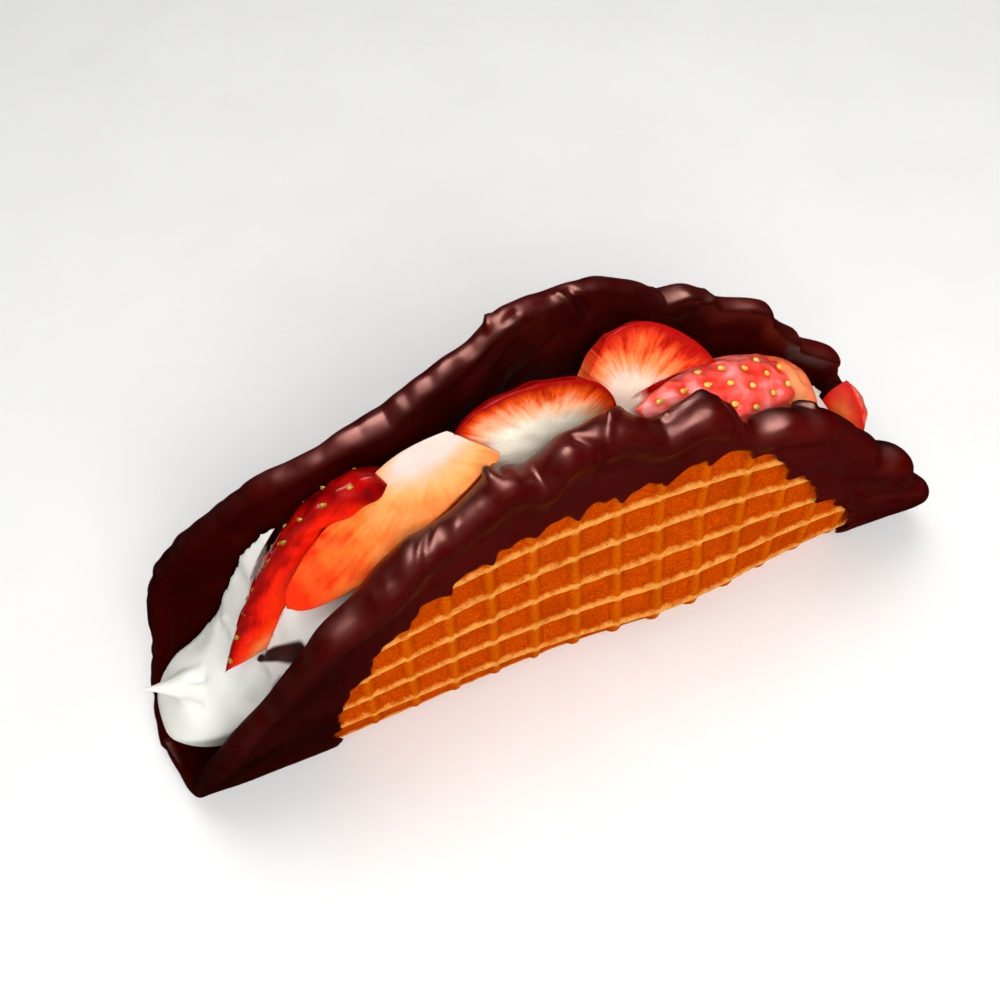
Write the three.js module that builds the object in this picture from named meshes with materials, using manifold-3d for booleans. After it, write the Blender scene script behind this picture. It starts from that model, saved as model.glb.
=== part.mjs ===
import * as THREE from 'three';
import { mergeVertices } from 'three/addons/utils/BufferGeometryUtils.js';
import Module from 'manifold-3d';

// A cheesecake taco: a waffle disc folded up round a narrow flat strip, lined and edged with dark
// chocolate, piped full of whipped cheesecake cream and topped with cut strawberries.
// Millimetres, +Z up. The fold runs along X and the front wall is the one on the -Y side.
// Shell and chocolate are laid out flat as (u, v, w): u along the fold, v across it and w through
// the thickness, from the tops of the waffle ridges inwards. foldPoint bends that space into the taco.

const wasm = await Module();
wasm.setup();

// Driving sizes of the fold
const STRIP_HALF = 4.4;
const FOLD_RADIUS = 8.15;
const LEAN_SPAN = 64.2;
const FRONT_LEAN = [-0.034, -0.098, 0.304, 0.053];
const BACK_LEAN = [-0.033, 0.295, -0.123, -0.711];
const RISE_FROM = 36;
const RISE_SPAN = 28.2;
const LEFT_RISE = 1.8;
const RIGHT_RISE = 1.1;
const FLARE = 2.4;
const FLARE_AT = -24;
const FLARE_WIDTH = 14;
const FLARE_FROM = 56;
const FLARE_TO = 72;

// The front wall bellies out low down, right of the middle.
const BELLY = 2.4;
const BELLY_AT = 20;
const BELLY_WIDTH = 17;
const BELLY_LOW = 5;
const BELLY_HIGH = 34;
const BELLY_ACROSS = 9;

// Driving sizes of the waffle
const PITCH = 7.34;
const GRID_TURN = 0.041;
const GRID_U = -20.88;
const GRID_V = -49.07;
const RIDGE_HEIGHT = 0.9;
const RIDGE_WIDTH = 2.1;
const SHELL_INNER = 2.4;
const COVERED_LEVEL = 0.3;
const RIDGE_SPLITS = [RIDGE_WIDTH / 2, RIDGE_WIDTH];
const FLOOR_MIDDLE = (RIDGE_WIDTH + PITCH) / 2;
const BEND_REACH = 20;
const PAD_REACH = 9;


// Driving sizes of the chocolate
const LINING_GAP = 0.6;
const LINING = 1;
const BAND_GAP = 0.45;
const BAND = 0.65;
const LINING_OUTER = SHELL_INNER + LINING_GAP;
const LINING_INNER = LINING_OUTER + LINING;
const BAND_OUTER = -BAND_GAP - BAND;
const FLOOR_CLEARANCE = 0.25;
const SHELL_INSET = 4.6;
const CAVITY_CLEAR = 0.6;
const LINING_INSET = 5;
const LIP_MIDDLE = (LINING_INNER + BAND_OUTER) / 2;
const LIP_ROUND = 2.3;
const LIP_SWELL = 0.35;
const BAND_STEPS = 4;
const EDGE_SPACING = 6;
const EVEN_TO_CROWDED = 0.5;

// The outside chocolate ends on a squared oval of the flat disc, with one bump where it thins.
const BAND_SQUARENESS = 2.6;
const BAND_LEFT = 44;
const BAND_RIGHT = 57;
const BAND_ACROSS = 52;
const BAND_BUMP = { at: -61, width: 8, height: 4 };

// The uneven chocolate rim as seen on the flat disc. Angles run from +X towards the back wall.
const RIM_RADIUS = 71.2;
const FRONT_SHORTER = 5.6;
const FRONT_SKEW = 2.6;
const RIM_LOBES = [
  { at: 162, width: 8, height: -1.3 }, { at: 123, width: 9, height: 1.2 },
  { at: 107, width: 3.5, height: -1.6 }, { at: 89, width: 2, height: 1.3 },
  { at: 85, width: 8, height: 1.9 }, { at: 75, width: 6, height: 1.3 },
  { at: 67, width: 4, height: -1.4 }, { at: 63, width: 2, height: 0.9 },
  { at: 52, width: 4, height: 2.3 }, { at: 40, width: 3.5, height: 2.1 },
  { at: 29, width: 5, height: -0.8 }, { at: -14, width: 6, height: 1.8 },
  { at: -33, width: 4, height: 1.4 }, { at: -37, width: 2, height: -1.8 },
  { at: -50, width: 5, height: 1.8 }, { at: -61, width: 4, height: -2.4 },
  { at: -69, width: 4, height: 1.8 }, { at: -75, width: 3, height: -1.4 },
  { at: -82, width: 4.5, height: 1.9 }, { at: -93, width: 2.6, height: -1.6 },
  { at: -97.5, width: 2.6, height: 1.7 }, { at: -111, width: 3, height: 1 },
  { at: -126, width: 3.5, height: 1.6 }, { at: -166, width: 8, height: 0.3 },
];

// Driving sizes of the cream
const CREAM_CLEAR = LINING_INNER + 1;
const CREAM_LEFT = -67.5;
const CREAM_RIGHT = 60;
const LEFT_ROUNDING = 14;
const RIGHT_ROUNDING = 9;
const CREAM_STATIONS = 18;
const CROWN_OPEN = 3.4;
const CROWN_COVERED = -2.5;
const PEAK_SIDES = 10;
const PEAK_RADIUS = 5;

// Cut strawberries. Each is a half berry or a slice with its flat cut face turned to one side. It is
// given by its tip and its wide end, the way the cut face looks, its width, its depth behind the cut,
// how pointed the tip is, how far the wide end rounds in, and which part of the skin shows seeds.
// Where the cut slants, the wide end is whole again and swells forward of the cut by the front size.
// Berries later in the list give way to earlier ones.
const BERRIES = [
  {
    name: 'strawberry_half_middle', tip: [-11.8, -2.5, 58.1], top: [13.5, -4.6, 46.3], face: [0.04, -0.96, 0.27],
    width: 18.5, depth: 7, point: 0.8, shoulder: 0.96, seeds: null,
  },
  {
    name: 'strawberry_half_right', tip: [16.7, -2, 48.6], top: [45.5, -2, 34], face: [0.17, 0.55, -0.82],
    width: 17, depth: 7, point: 0.8, shoulder: 0.75, seeds: [0.12, 0.88],
  },
  {
    name: 'strawberry_slice_left', tip: [-41.8, -7, 41.1], top: [-9.5, -4, 58.5], face: [-0.17, -0.55, 0.82],
    width: 12, depth: 4.5, point: 0.45, shoulder: 0.8, seeds: [0.02, 0.2],
  },
  {
    name: 'strawberry_half_back', tip: [31.5, -2, 41.6], top: [11.3, 2, 56], face: [0.04, -0.95, 0.32],
    width: 19.5, depth: 6, point: 0.7, shoulder: 0.85, seeds: null,
  },
  {
    name: 'strawberry_half_left', tip: [-54.7, -4, 25.8], top: [-22.3, -2, 53.6], face: [-0.14, -0.96, 0.24],
    width: 14.5, depth: 9, point: 0.9, shoulder: 0.93, seeds: [0.6, 1], front: 4,
  },
  {
    name: 'strawberry_piece_right', tip: [55, -3.2, 35.4], top: [56.6, -3, 20], face: [-0.8, -0.45, 0.4],
    width: 8.5, depth: 5, point: 1, shoulder: 0.9, seeds: [0.1, 0.6],
  },
];
const BERRY_RINGS = [0.03, 0.1, 0.22, 0.37, 0.54, 0.72, 0.87, 0.96, 1];
const BERRY_SIDES = 9;
const WIDEST = 0.7;
const WHOLE_FROM = 0.72;
const WHOLE_AT = 0.98;
const SEED_SPACING = 4;
const SEED_LENGTH = 0.75;
const CLEAR = 0.35;
const SEED_CLEAR = 0.95;


const clamp = THREE.MathUtils.clamp;
const lerp = THREE.MathUtils.lerp;

function polynomial(coefficients, x) {
  return coefficients.reduceRight((sum, c) => sum * x + c, 0);
}

function leanAt(side, u) {
  return polynomial(side < 0 ? FRONT_LEAN : BACK_LEAN, u / LEAN_SPAN);
}

function endRise(u) {
  const rise = u < 0 ? LEFT_RISE : RIGHT_RISE;
  return rise * Math.max((Math.abs(u) - RISE_FROM) / RISE_SPAN, 0) ** 2;
}

function belly(u, y, z) {
  const low = 1 - THREE.MathUtils.smoothstep(z, BELLY_LOW, BELLY_HIGH);
  const outwards = THREE.MathUtils.smoothstep(y, 0, BELLY_ACROSS);
  return BELLY * low * outwards * Math.exp(-(((u - BELLY_AT) / BELLY_WIDTH) ** 2));
}

// The front of the right end flares outwards.
function endFlare(u, v) {
  const turn = THREE.MathUtils.radToDeg(Math.atan2(v, u));
  const outwards = THREE.MathUtils.smoothstep(Math.hypot(u, v), FLARE_FROM, FLARE_TO);
  return FLARE * outwards * Math.exp(-(((turn - FLARE_AT) / FLARE_WIDTH) ** 2));
}

// A point of the flat sheet after folding: flat strip, round bend, then a leaning wall.
function foldPoint(u, v, depth) {
  const side = v < 0 ? -1 : 1;
  const w = depth - endFlare(u, v);
  const lean = leanAt(side, u);
  const sweep = Math.PI / 2 - lean;
  const run = Math.abs(v);
  const turned = clamp((run - STRIP_HALF) / FOLD_RADIUS, 0, sweep);
  const climb = Math.max(run - STRIP_HALF - FOLD_RADIUS * sweep, 0);
  const reach = FOLD_RADIUS - w;
  const y = Math.min(run, STRIP_HALF) + reach * Math.sin(turned) + climb * Math.sin(lean);
  const z = FOLD_RADIUS - reach * Math.cos(turned) + climb * Math.cos(lean) + endRise(u);
  return [u, side < 0 ? -y - belly(u, y, z) : y, z];
}

// How far the bend itself lifts the outer skin above the strip.
function bendLift(v) {
  const turned = clamp((Math.abs(v) - STRIP_HALF) / FOLD_RADIUS, 0, Math.PI / 2);
  return FOLD_RADIUS * (1 - Math.cos(turned));
}

function rimBase(degrees) {
  const angle = THREE.MathUtils.degToRad(degrees);
  const towardsFront = Math.max(-Math.sin(angle), 0);
  return RIM_RADIUS - FRONT_SHORTER * towardsFront ** 0.8 + FRONT_SKEW * towardsFront ** 0.5 * Math.cos(angle);
}

function rimRadius(degrees) {
  let radius = rimBase(degrees);
  for (const { at, width, height } of RIM_LOBES) {
    radius += height * Math.exp(-(((degrees - at) / width) ** 2));
  }
  return radius;
}

function bandRadius(degrees) {
  const angle = THREE.MathUtils.degToRad(degrees);
  const along = Math.abs(Math.cos(angle)) / (Math.cos(angle) < 0 ? BAND_LEFT : BAND_RIGHT);
  const across = Math.abs(Math.sin(angle)) / BAND_ACROSS;
  const oval = (along ** BAND_SQUARENESS + across ** BAND_SQUARENESS) ** (-1 / BAND_SQUARENESS);
  return oval + BAND_BUMP.height * Math.exp(-(((degrees - BAND_BUMP.at) / BAND_BUMP.width) ** 2));
}

function degreesOf(u, v) {
  return THREE.MathUtils.radToDeg(Math.atan2(v, u));
}

// The outermost level at which the chocolate is still clear of the ground.
function groundLevel(u, v) {
  return FLOOR_CLEARANCE - endRise(u) - bendLift(v) + endFlare(u, v);
}

// Outer face of the band. Near the strip it sinks into the waffle so that it stays off the ground.
function bandOuterLevel(u, v) {
  return Math.max(BAND_OUTER, groundLevel(u, v));
}

// A patch collects points of the flat sheet once each and triangles over them, seen from +w.
class Patch {
  constructor() {
    this.points = [];
    this.triangles = [];
    this.known = new Map();
  }

  point(u, v) {
    const key = `${u.toFixed(4)},${v.toFixed(4)}`;
    if (!this.known.has(key)) {
      this.known.set(key, this.points.length);
      this.points.push([u, v]);
    }
    return this.known.get(key);
  }

  find(u, v) {
    return this.known.get(`${u.toFixed(4)},${v.toFixed(4)}`);
  }

  quad(a, b, c, d) {
    this.triangles.push([a, b, c], [a, c, d]);
  }

  fan(ring) {
    if (ring.length === 4) {
      this.quad(...ring);
      return;
    }
    const sum = ring.reduce(([u, v], i) => [u + this.points[i][0], v + this.points[i][1]], [0, 0]);
    const centre = this.point(sum[0] / ring.length, sum[1] / ring.length);
    ring.forEach((a, i) => this.triangles.push([centre, a, ring[(i + 1) % ring.length]]));
  }

  // The points of the outline in order, anticlockwise.
  outline() {
    const edges = new Map();
    for (const [a, b, c] of this.triangles) {
      for (const [from, to] of [[a, b], [b, c], [c, a]]) {
        edges.set(`${from},${to}`, [from, to]);
      }
    }
    const next = new Map();
    for (const [from, to] of edges.values()) {
      if (!edges.has(`${to},${from}`)) {
        next.set(from, to);
      }
    }
    const first = next.keys().next().value;
    const loop = [first];
    while (next.get(loop[loop.length - 1]) !== first) {
      loop.push(next.get(loop[loop.length - 1]));
    }
    return loop;
  }

  // Pull the outline onto a radius that depends on the angle.
  snapOutline(radiusAt) {
    for (const i of this.outline()) {
      const [u, v] = this.points[i];
      const scale = radiusAt(degreesOf(u, v)) / Math.hypot(u, v);
      this.points[i] = [u * scale, v * scale];
    }
    this.known = new Map(this.points.map(([u, v], i) => [`${u.toFixed(4)},${v.toFixed(4)}`, i]));
  }
}

// A solid between two patches that share one outline. rimPath gives the (radius, w) steps that run
// from the top patch's outline round to the bottom patch's outline.
function foldedSolid(top, topLevel, bottom, bottomLevel, rimPath) {
  const positions = [];
  const indices = [];
  const add = (u, v, w) => positions.push(foldPoint(u, v, w)) - 1;
  const topIds = top.points.map(([u, v]) => add(u, v, topLevel(u, v)));
  const bottomIds = bottom.points.map(([u, v], i) => add(u, v, bottomLevel(u, v, i)));
  top.triangles.forEach(([a, b, c]) => indices.push([topIds[a], topIds[b], topIds[c]]));
  bottom.triangles.forEach(([a, b, c]) => indices.push([bottomIds[a], bottomIds[c], bottomIds[b]]));
  const loop = top.outline();
  const rows = loop.map((i) => {
    const [u, v] = top.points[i];
    const degrees = degreesOf(u, v);
    const radius = Math.hypot(u, v);
    const steps = rimPath(degrees, u, v).map(([r, w]) => {
      const [su, sv] = [u * r / radius, v * r / radius];
      return add(su, sv, typeof w === 'function' ? w(su, sv) : w);
    });
    return [topIds[i], ...steps, bottomIds[bottom.find(u, v)]];
  });
  rows.forEach((row, i) => {
    const after = rows[(i + 1) % rows.length];
    for (let k = 0; k + 1 < row.length; k += 1) {
      indices.push([row[k], row[k + 1], after[k + 1]], [row[k], after[k + 1], after[k]]);
    }
  });
  const geometry = new THREE.BufferGeometry();
  geometry.setAttribute('position', new THREE.Float32BufferAttribute(positions.flat(), 3));
  geometry.setIndex(indices.flat());
  return geometry;
}

// Waffle shell: grid cells in the turned grid's own (g, h) directions, ridged where they show.
function gridPoint(g, h) {
  const [c, s] = [Math.cos(GRID_TURN), Math.sin(GRID_TURN)];
  return [GRID_U + g * c - h * s, GRID_V + g * s + h * c];
}

// The same place is always worked out in the same way, so that neighbouring cells share their points.
function cellPoint(i, k, g, h) {
  return gridPoint(g === PITCH ? (i + 1) * PITCH : i * PITCH + g, h === PITCH ? (k + 1) * PITCH : k * PITCH + h);
}

function shellRadius(degrees) {
  return rimBase(degrees) - SHELL_INSET;
}

// The cells of the grid that lie on the disc. A cell runs from the foot of one ridge to the next, and
// the few pads under the middle of the strip are pressed flat.
function makeCells() {
  const cells = new Map();
  for (let i = -8; i <= 13; i += 1) {
    for (let k = -4; k <= 17; k += 1) {
      const [u, v] = gridPoint((i + 0.5) * PITCH, (k + 0.5) * PITCH);
      const degrees = degreesOf(u, v);
      const radius = Math.hypot(u, v);
      if (radius < shellRadius(degrees) - 0.1 * PITCH) {
        const margin = (Math.abs(v) < BEND_REACH ? -0.75 : 0.3) * PITCH;
        const pad = Math.abs(v) < STRIP_HALF && Math.abs(u) < PAD_REACH;
        cells.set(`${i},${k}`, { i, k, pad, ridged: !pad && radius < bandRadius(degrees) + margin });
      }
    }
  }
  for (const cell of cells.values()) {
    const around = [[-1, -1], [-1, 0], [-1, 1], [0, -1], [0, 1], [1, -1], [1, 0], [1, 1]];
    cell.ridged = cell.ridged && around.every(([di, dk]) => cells.has(`${cell.i + di},${cell.k + dk}`));
  }
  return cells;
}

// One face of the shell as a patch. Cells next to a ridged one share its split points.
function shellFace(cells, showRidges) {
  const patch = new Patch();
  const ridged = (i, k) => showRidges && (cells.get(`${i},${k}`)?.ridged ?? false);
  const bent = (k) => Math.abs(gridPoint(0, (k + 0.5) * PITCH)[1]) < BEND_REACH;
  const alongG = (i, k) => [0, ...(ridged(i, k - 1) || ridged(i, k) ? RIDGE_SPLITS : []), PITCH];
  const alongH = (i, k) => {
    const fine = bent(k) || ridged(i - 1, k) || ridged(i, k);
    return [0, ...(fine ? RIDGE_SPLITS : []), ...(bent(k) ? [FLOOR_MIDDLE] : []), PITCH];
  };
  for (const { i, k } of cells.values()) {
    const at = (g, h) => patch.point(...cellPoint(i, k, g, h));
    const levels = ridged(i, k) || bent(k) ? alongH(i, k) : [0, PITCH];
    levels.slice(1).forEach((high, row) => {
      const low = levels[row];
      const plainRow = ridged(i, k) ? [0, ...RIDGE_SPLITS, PITCH] : [0, PITCH];
      const lowLine = low === 0 ? alongG(i, k) : plainRow;
      const highLine = high === PITCH ? alongG(i, k + 1) : plainRow;
      if (ridged(i, k)) {
        lowLine.slice(1).forEach((right, column) => {
          const left = lowLine[column];
          patch.quad(at(left, low), at(right, low), at(right, high), at(left, high));
        });
        return;
      }
      const between = (h) => h > low && h < high;
      patch.fan([
        ...lowLine.map((g) => at(g, low)),
        ...alongH(i + 1, k).filter(between).map((h) => at(PITCH, h)),
        ...highLine.reverse().map((g) => at(g, high)),
        ...alongH(i, k).filter(between).reverse().map((h) => at(0, h)),
      ]);
    });
  }
  return patch;
}

// Heights of the outer face where it is not covered: crests at 0, floors RIDGE_HEIGHT in, pads at 0.
function shownLevels(cells, patch) {
  const levels = new Map();
  const lines = [0, ...RIDGE_SPLITS, FLOOR_MIDDLE, PITCH];
  const ordered = [...cells.values()].sort((a, b) => Number(a.pad) - Number(b.pad));
  for (const { i, k, pad, ridged } of ordered.filter((cell) => cell.ridged || cell.pad)) {
    for (const g of lines) {
      for (const h of lines) {
        const crest = g === RIDGE_SPLITS[0] || h === RIDGE_SPLITS[0];
        const found = patch.find(...cellPoint(i, k, g, h));
        if (found !== undefined && (pad || !ridged || crest || !levels.has(found))) {
          levels.set(found, pad || crest ? 0 : RIDGE_HEIGHT);
        }
      }
    }
  }
  return levels;
}

function waffleShell() {
  const cells = makeCells();
  const outside = shellFace(cells, true);
  const inside = shellFace(cells, false);
  const shown = shownLevels(cells, outside);
  const covered = (u, v) => Math.max(COVERED_LEVEL, bandOuterLevel(u, v) + BAND + 0.4);
  inside.snapOutline(shellRadius);
  outside.snapOutline(shellRadius);
  const outerLevel = (u, v, i) => shown.get(i) ?? covered(u, v);
  return foldedSolid(inside, () => SHELL_INNER, outside, outerLevel, () => []);
}

// Chocolate coat: a lining all over the inside, a thick wavy lip over the rim and a band outside.
function lipSwell(degrees) {
  return LIP_SWELL * (1 + 0.6 * Math.sin(degrees * 0.31) + 0.5 * Math.sin(degrees * 0.17 + 2));
}

// Lines across the fold: close together round the bends, wide apart up the walls.
function foldLines() {
  const bend = [0.2, 0.4, 0.6, 0.8, 1].map((part) => STRIP_HALF + FOLD_RADIUS * (Math.PI / 2) * part);
  const top = bend[bend.length - 1];
  const wall = [1, 2, 3, 4, 5, 6].map((step) => lerp(top, RIM_RADIUS, step / 6));
  const side = [STRIP_HALF, ...bend, ...wall];
  return [...[...side].reverse().map((v) => -v), ...side];
}

function discPatch(radiusAt) {
  const patch = new Patch();
  const columns = 16;
  const uLines = Array.from({ length: columns + 1 }, (_, i) => {
    const s = 2 * i / columns - 1;
    return RIM_RADIUS * lerp(s, Math.sin(Math.PI * s / 2), EVEN_TO_CROWDED);
  });
  const vLines = foldLines();
  const inside = (i, k) => {
    const u = (uLines[i] + uLines[i + 1]) / 2;
    const v = (vLines[k] + vLines[k + 1]) / 2;
    return Math.hypot(u, v) < radiusAt(degreesOf(u, v)) - 0.5;
  };
  const side = (from, to, shared) => {
    const count = shared ? 1 : Math.ceil(Math.hypot(to[0] - from[0], to[1] - from[1]) / EDGE_SPACING);
    return Array.from({ length: count }, (_, n) => patch.point(
      n === 0 ? from[0] : lerp(from[0], to[0], n / count),
      n === 0 ? from[1] : lerp(from[1], to[1], n / count),
    ));
  };
  for (let i = 0; i < columns; i += 1) {
    for (let k = 0; k + 1 < vLines.length; k += 1) {
      if (inside(i, k)) {
        const corners = [[uLines[i], vLines[k]], [uLines[i + 1], vLines[k]],
          [uLines[i + 1], vLines[k + 1]], [uLines[i], vLines[k + 1]]];
        const shared = [inside(i, k - 1), inside(i + 1, k), inside(i, k + 1), inside(i - 1, k)];
        patch.fan(corners.flatMap((corner, n) => side(corner, corners[(n + 1) % 4], shared[n])));
      }
    }
  }
  patch.snapOutline(radiusAt);
  return patch;
}

// The coat grows by extra on every face, which gives the room that the filling leaves free.
function chocolateCoat(extra) {
  const patch = discPatch((degrees) => rimBase(degrees) - LINING_INSET);
  const outer = (u, v) => bandOuterLevel(u, v) - extra;
  const inner = (u, v) => bandOuterLevel(u, v) + BAND;
  const rimPath = (degrees) => {
    const lip = rimRadius(degrees) + extra;
    const swell = lipSwell(degrees) + extra;
    const edge = bandRadius(degrees) - extra;
    const cavity = rimBase(degrees) - SHELL_INSET + CAVITY_CLEAR;
    const band = (from, to, level) => Array.from({ length: BAND_STEPS }, (_, n) => (
      [lerp(from, to, n / (BAND_STEPS - 1)), level]));
    return [
      [lip - LIP_ROUND, LINING_INNER + swell],
      [lip - LIP_ROUND * 0.3, lerp(LIP_MIDDLE, LINING_INNER + swell, 0.72)],
      [lip, LIP_MIDDLE],
      [lip - LIP_ROUND * 0.3, (u, v) => Math.max(lerp(LIP_MIDDLE, BAND_OUTER - swell, 0.72), groundLevel(u, v))],
      [lip - LIP_ROUND * 1.1, (u, v) => Math.max(outer(u, v) - lipSwell(degrees), groundLevel(u, v))],
      ...band(lip - 2.6 * LIP_ROUND, edge + 0.6, outer),
      [edge, (u, v) => lerp(outer(u, v), inner(u, v), 0.6)],
      ...band(edge + 0.5, cavity, inner),
      [cavity, LINING_OUTER],
    ];
  };
  return foldedSolid(patch, () => LINING_INNER + extra, patch, () => LINING_OUTER, rimPath);
}

// Solids for joining and cutting
function solidOf(geometry) {
  const bare = geometry.clone();
  bare.deleteAttribute('normal');
  bare.deleteAttribute('uv');
  const merged = mergeVertices(bare, 1e-5);
  const vertProperties = new Float32Array(merged.attributes.position.array);
  const triVerts = new Uint32Array(merged.index.array);
  return new wasm.Manifold(new wasm.Mesh({ numProp: 3, vertProperties, triVerts }));
}

function geometryOf(solid) {
  const mesh = solid.getMesh();
  const geometry = new THREE.BufferGeometry();
  geometry.setAttribute('position', new THREE.BufferAttribute(mesh.vertProperties, 3));
  geometry.setIndex(new THREE.BufferAttribute(mesh.triVerts, 1));
  return geometry;
}

// Cutting can leave loose scraps: the largest piece is the one that is kept.
function largest(solid) {
  return solid.decompose().reduce((best, piece) => (piece.volume() > best.volume() ? piece : best));
}

// A closed skin over rings of equal length, with a point at either end.
function skinOver(rings, start, end) {
  const count = rings[0].length;
  const positions = [start, ...rings.flat(), end];
  const at = (ring, k) => 1 + ring * count + (k % count);
  const indices = [];
  for (let k = 0; k < count; k += 1) {
    indices.push([0, at(0, k + 1), at(0, k)]);
    for (let ring = 0; ring + 1 < rings.length; ring += 1) {
      indices.push([at(ring, k), at(ring, k + 1), at(ring + 1, k + 1)]);
      indices.push([at(ring, k), at(ring + 1, k + 1), at(ring + 1, k)]);
    }
    indices.push([at(rings.length - 1, k), at(rings.length - 1, k + 1), positions.length - 1]);
  }
  const geometry = new THREE.BufferGeometry();
  geometry.setAttribute('position', new THREE.Float32BufferAttribute(positions.flat(), 3));
  geometry.setIndex(indices.flat());
  return geometry;
}

// Cream: a long piped body that fills the fold to a level that changes along it.
function smooth(from, to, x) {
  return THREE.MathUtils.smoothstep(x, from, to);
}

function creamLevel(x) {
  return 19 + 24 * smooth(-60, -36, x) - 5 * smooth(10, 40, x) - 8 * smooth(44, 62, x);
}

// The run across the fold at which the inner surface reaches a height.
function runAtHeight(side, x, height, w) {
  let [low, high] = [0, RIM_RADIUS];
  for (let n = 0; n < 24; n += 1) {
    const middle = (low + high) / 2;
    [low, high] = foldPoint(x, side * middle, w)[2] < height ? [middle, high] : [low, middle];
  }
  return low;
}

function creamSection(x) {
  const level = creamLevel(x);
  const front = runAtHeight(-1, x, level - 3.5, CREAM_CLEAR);
  const back = runAtHeight(1, x, level, CREAM_CLEAR);
  const sideRuns = (top) => [1, 0.62, 0.42, 0.3, 0.2, 0.1].map((part) => lerp(STRIP_HALF * 0.4, top, part));
  const runs = [...sideRuns(front).map((v) => -v), ...sideRuns(back).reverse()];
  const hull = runs.map((v) => foldPoint(x, v, CREAM_CLEAR));
  const [first, last] = [hull[0], hull[hull.length - 1]];
  const swell = lerp(CROWN_OPEN, CROWN_COVERED, smooth(-58, -46, x));
  const crown = [0.2, 0.4, 0.6, 0.8].map((part) => [
    x, lerp(last[1], first[1], part), lerp(last[2], first[2], part) + swell * Math.sin(Math.PI * part)]);
  return [...hull, ...crown];
}

function creamBody() {
  const rings = Array.from({ length: CREAM_STATIONS }, (_, n) => {
    const turn = Math.PI * (n + 0.5) / CREAM_STATIONS;
    const x = lerp(CREAM_LEFT, CREAM_RIGHT, (1 - Math.cos(turn)) / 2);
    const leftDepth = clamp((CREAM_LEFT + LEFT_ROUNDING - x) / LEFT_ROUNDING, 0, 1);
    const rightDepth = clamp((x - CREAM_RIGHT + RIGHT_ROUNDING) / RIGHT_ROUNDING, 0, 1);
    const size = Math.sqrt(1 - Math.max(leftDepth, rightDepth) ** 2);
    const section = creamSection(x);
    const middle = creamLevel(x) * 0.55;
    return section.map(([, y, z]) => [x, y * size, middle + (z - middle) * size]);
  });
  const start = [CREAM_LEFT, 0, creamLevel(CREAM_LEFT) * 0.55];
  const end = [CREAM_RIGHT, 0, creamLevel(CREAM_RIGHT) * 0.55];
  return skinOver(rings, start, end);
}

// The drawn-out peak that the piping nozzle leaves at the open end.
function creamPeak() {
  const from = new THREE.Vector3(-58, 0, 16);
  const bend = new THREE.Vector3(-64, 0.5, 18.5);
  const tip = new THREE.Vector3(-69, 1.2, 22);
  const curve = new THREE.QuadraticBezierCurve3(from, bend, tip);
  const rings = [0.05, 0.35, 0.55, 0.72, 0.86, 0.96].map((t) => {
    const centre = curve.getPoint(t);
    const radius = PEAK_RADIUS * (1 - t) ** 1.3 + 0.3;
    return Array.from({ length: PEAK_SIDES }, (_, n) => {
      const turn = -2 * Math.PI * n / PEAK_SIDES;
      return [centre.x, centre.y + radius * Math.cos(turn), centre.z + radius * 0.8 * Math.sin(turn)];
    });
  });
  return skinOver(rings, from.toArray(), tip.toArray());
}

function berryProfile(t, point, shoulder) {
  if (t < WIDEST) {
    return Math.sin((Math.PI / 2) * (t / WIDEST)) ** point;
  }
  return Math.sqrt(1 - (shoulder * (t - WIDEST) / (1 - WIDEST)) ** 2);
}

function berryFrame({ tip, top, face }) {
  const origin = new THREE.Vector3(...tip);
  const along = new THREE.Vector3(...top).sub(origin);
  const length = along.length();
  along.normalize();
  const behind = new THREE.Vector3(...face).negate();
  behind.addScaledVector(along, -behind.dot(along)).normalize();
  const across = new THREE.Vector3().crossVectors(behind, along);
  const matrix = new THREE.Matrix4().makeBasis(across, behind, along).setPosition(origin);
  return { matrix, length };
}

// A point of the skin: t runs from the tip to the wide end, part from one edge of the cut to the other.
function skinPoint(berry, length, t, part, grow) {
  const swell = berryProfile(t, berry.point, berry.shoulder);
  const wrap = berry.front ? (Math.PI / 2) * smooth(WHOLE_FROM, WHOLE_AT, t) : 0;
  const turn = lerp(-wrap, Math.PI + wrap, part);
  const reach = Math.sin(turn) < 0 ? berry.front : berry.depth;
  return new THREE.Vector3(
    (swell * berry.width / 2 + grow) * Math.cos(turn),
    (swell * reach + grow) * Math.sin(turn),
    lerp(-grow, length + grow, t),
  );
}

function berryBody(berry, grow) {
  const { matrix, length } = berryFrame(berry);
  const rings = BERRY_RINGS.map((t) => {
    const skin = Array.from({ length: BERRY_SIDES + 1 }, (_, n) => (
      skinPoint(berry, length, t, n / BERRY_SIDES, grow)));
    const flat = grow > 0 ? [skin[BERRY_SIDES], skin[0]].map((edge) => edge.clone().setY(edge.y - grow)) : [];
    return [...skin, ...flat].map((point) => point.applyMatrix4(matrix).toArray());
  });
  const end = (y, z) => new THREE.Vector3(0, y, z).applyMatrix4(matrix).toArray();
  return skinOver(rings, end(0, -grow - 0.4), end(berry.depth * 0.3, length + grow));
}

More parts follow.
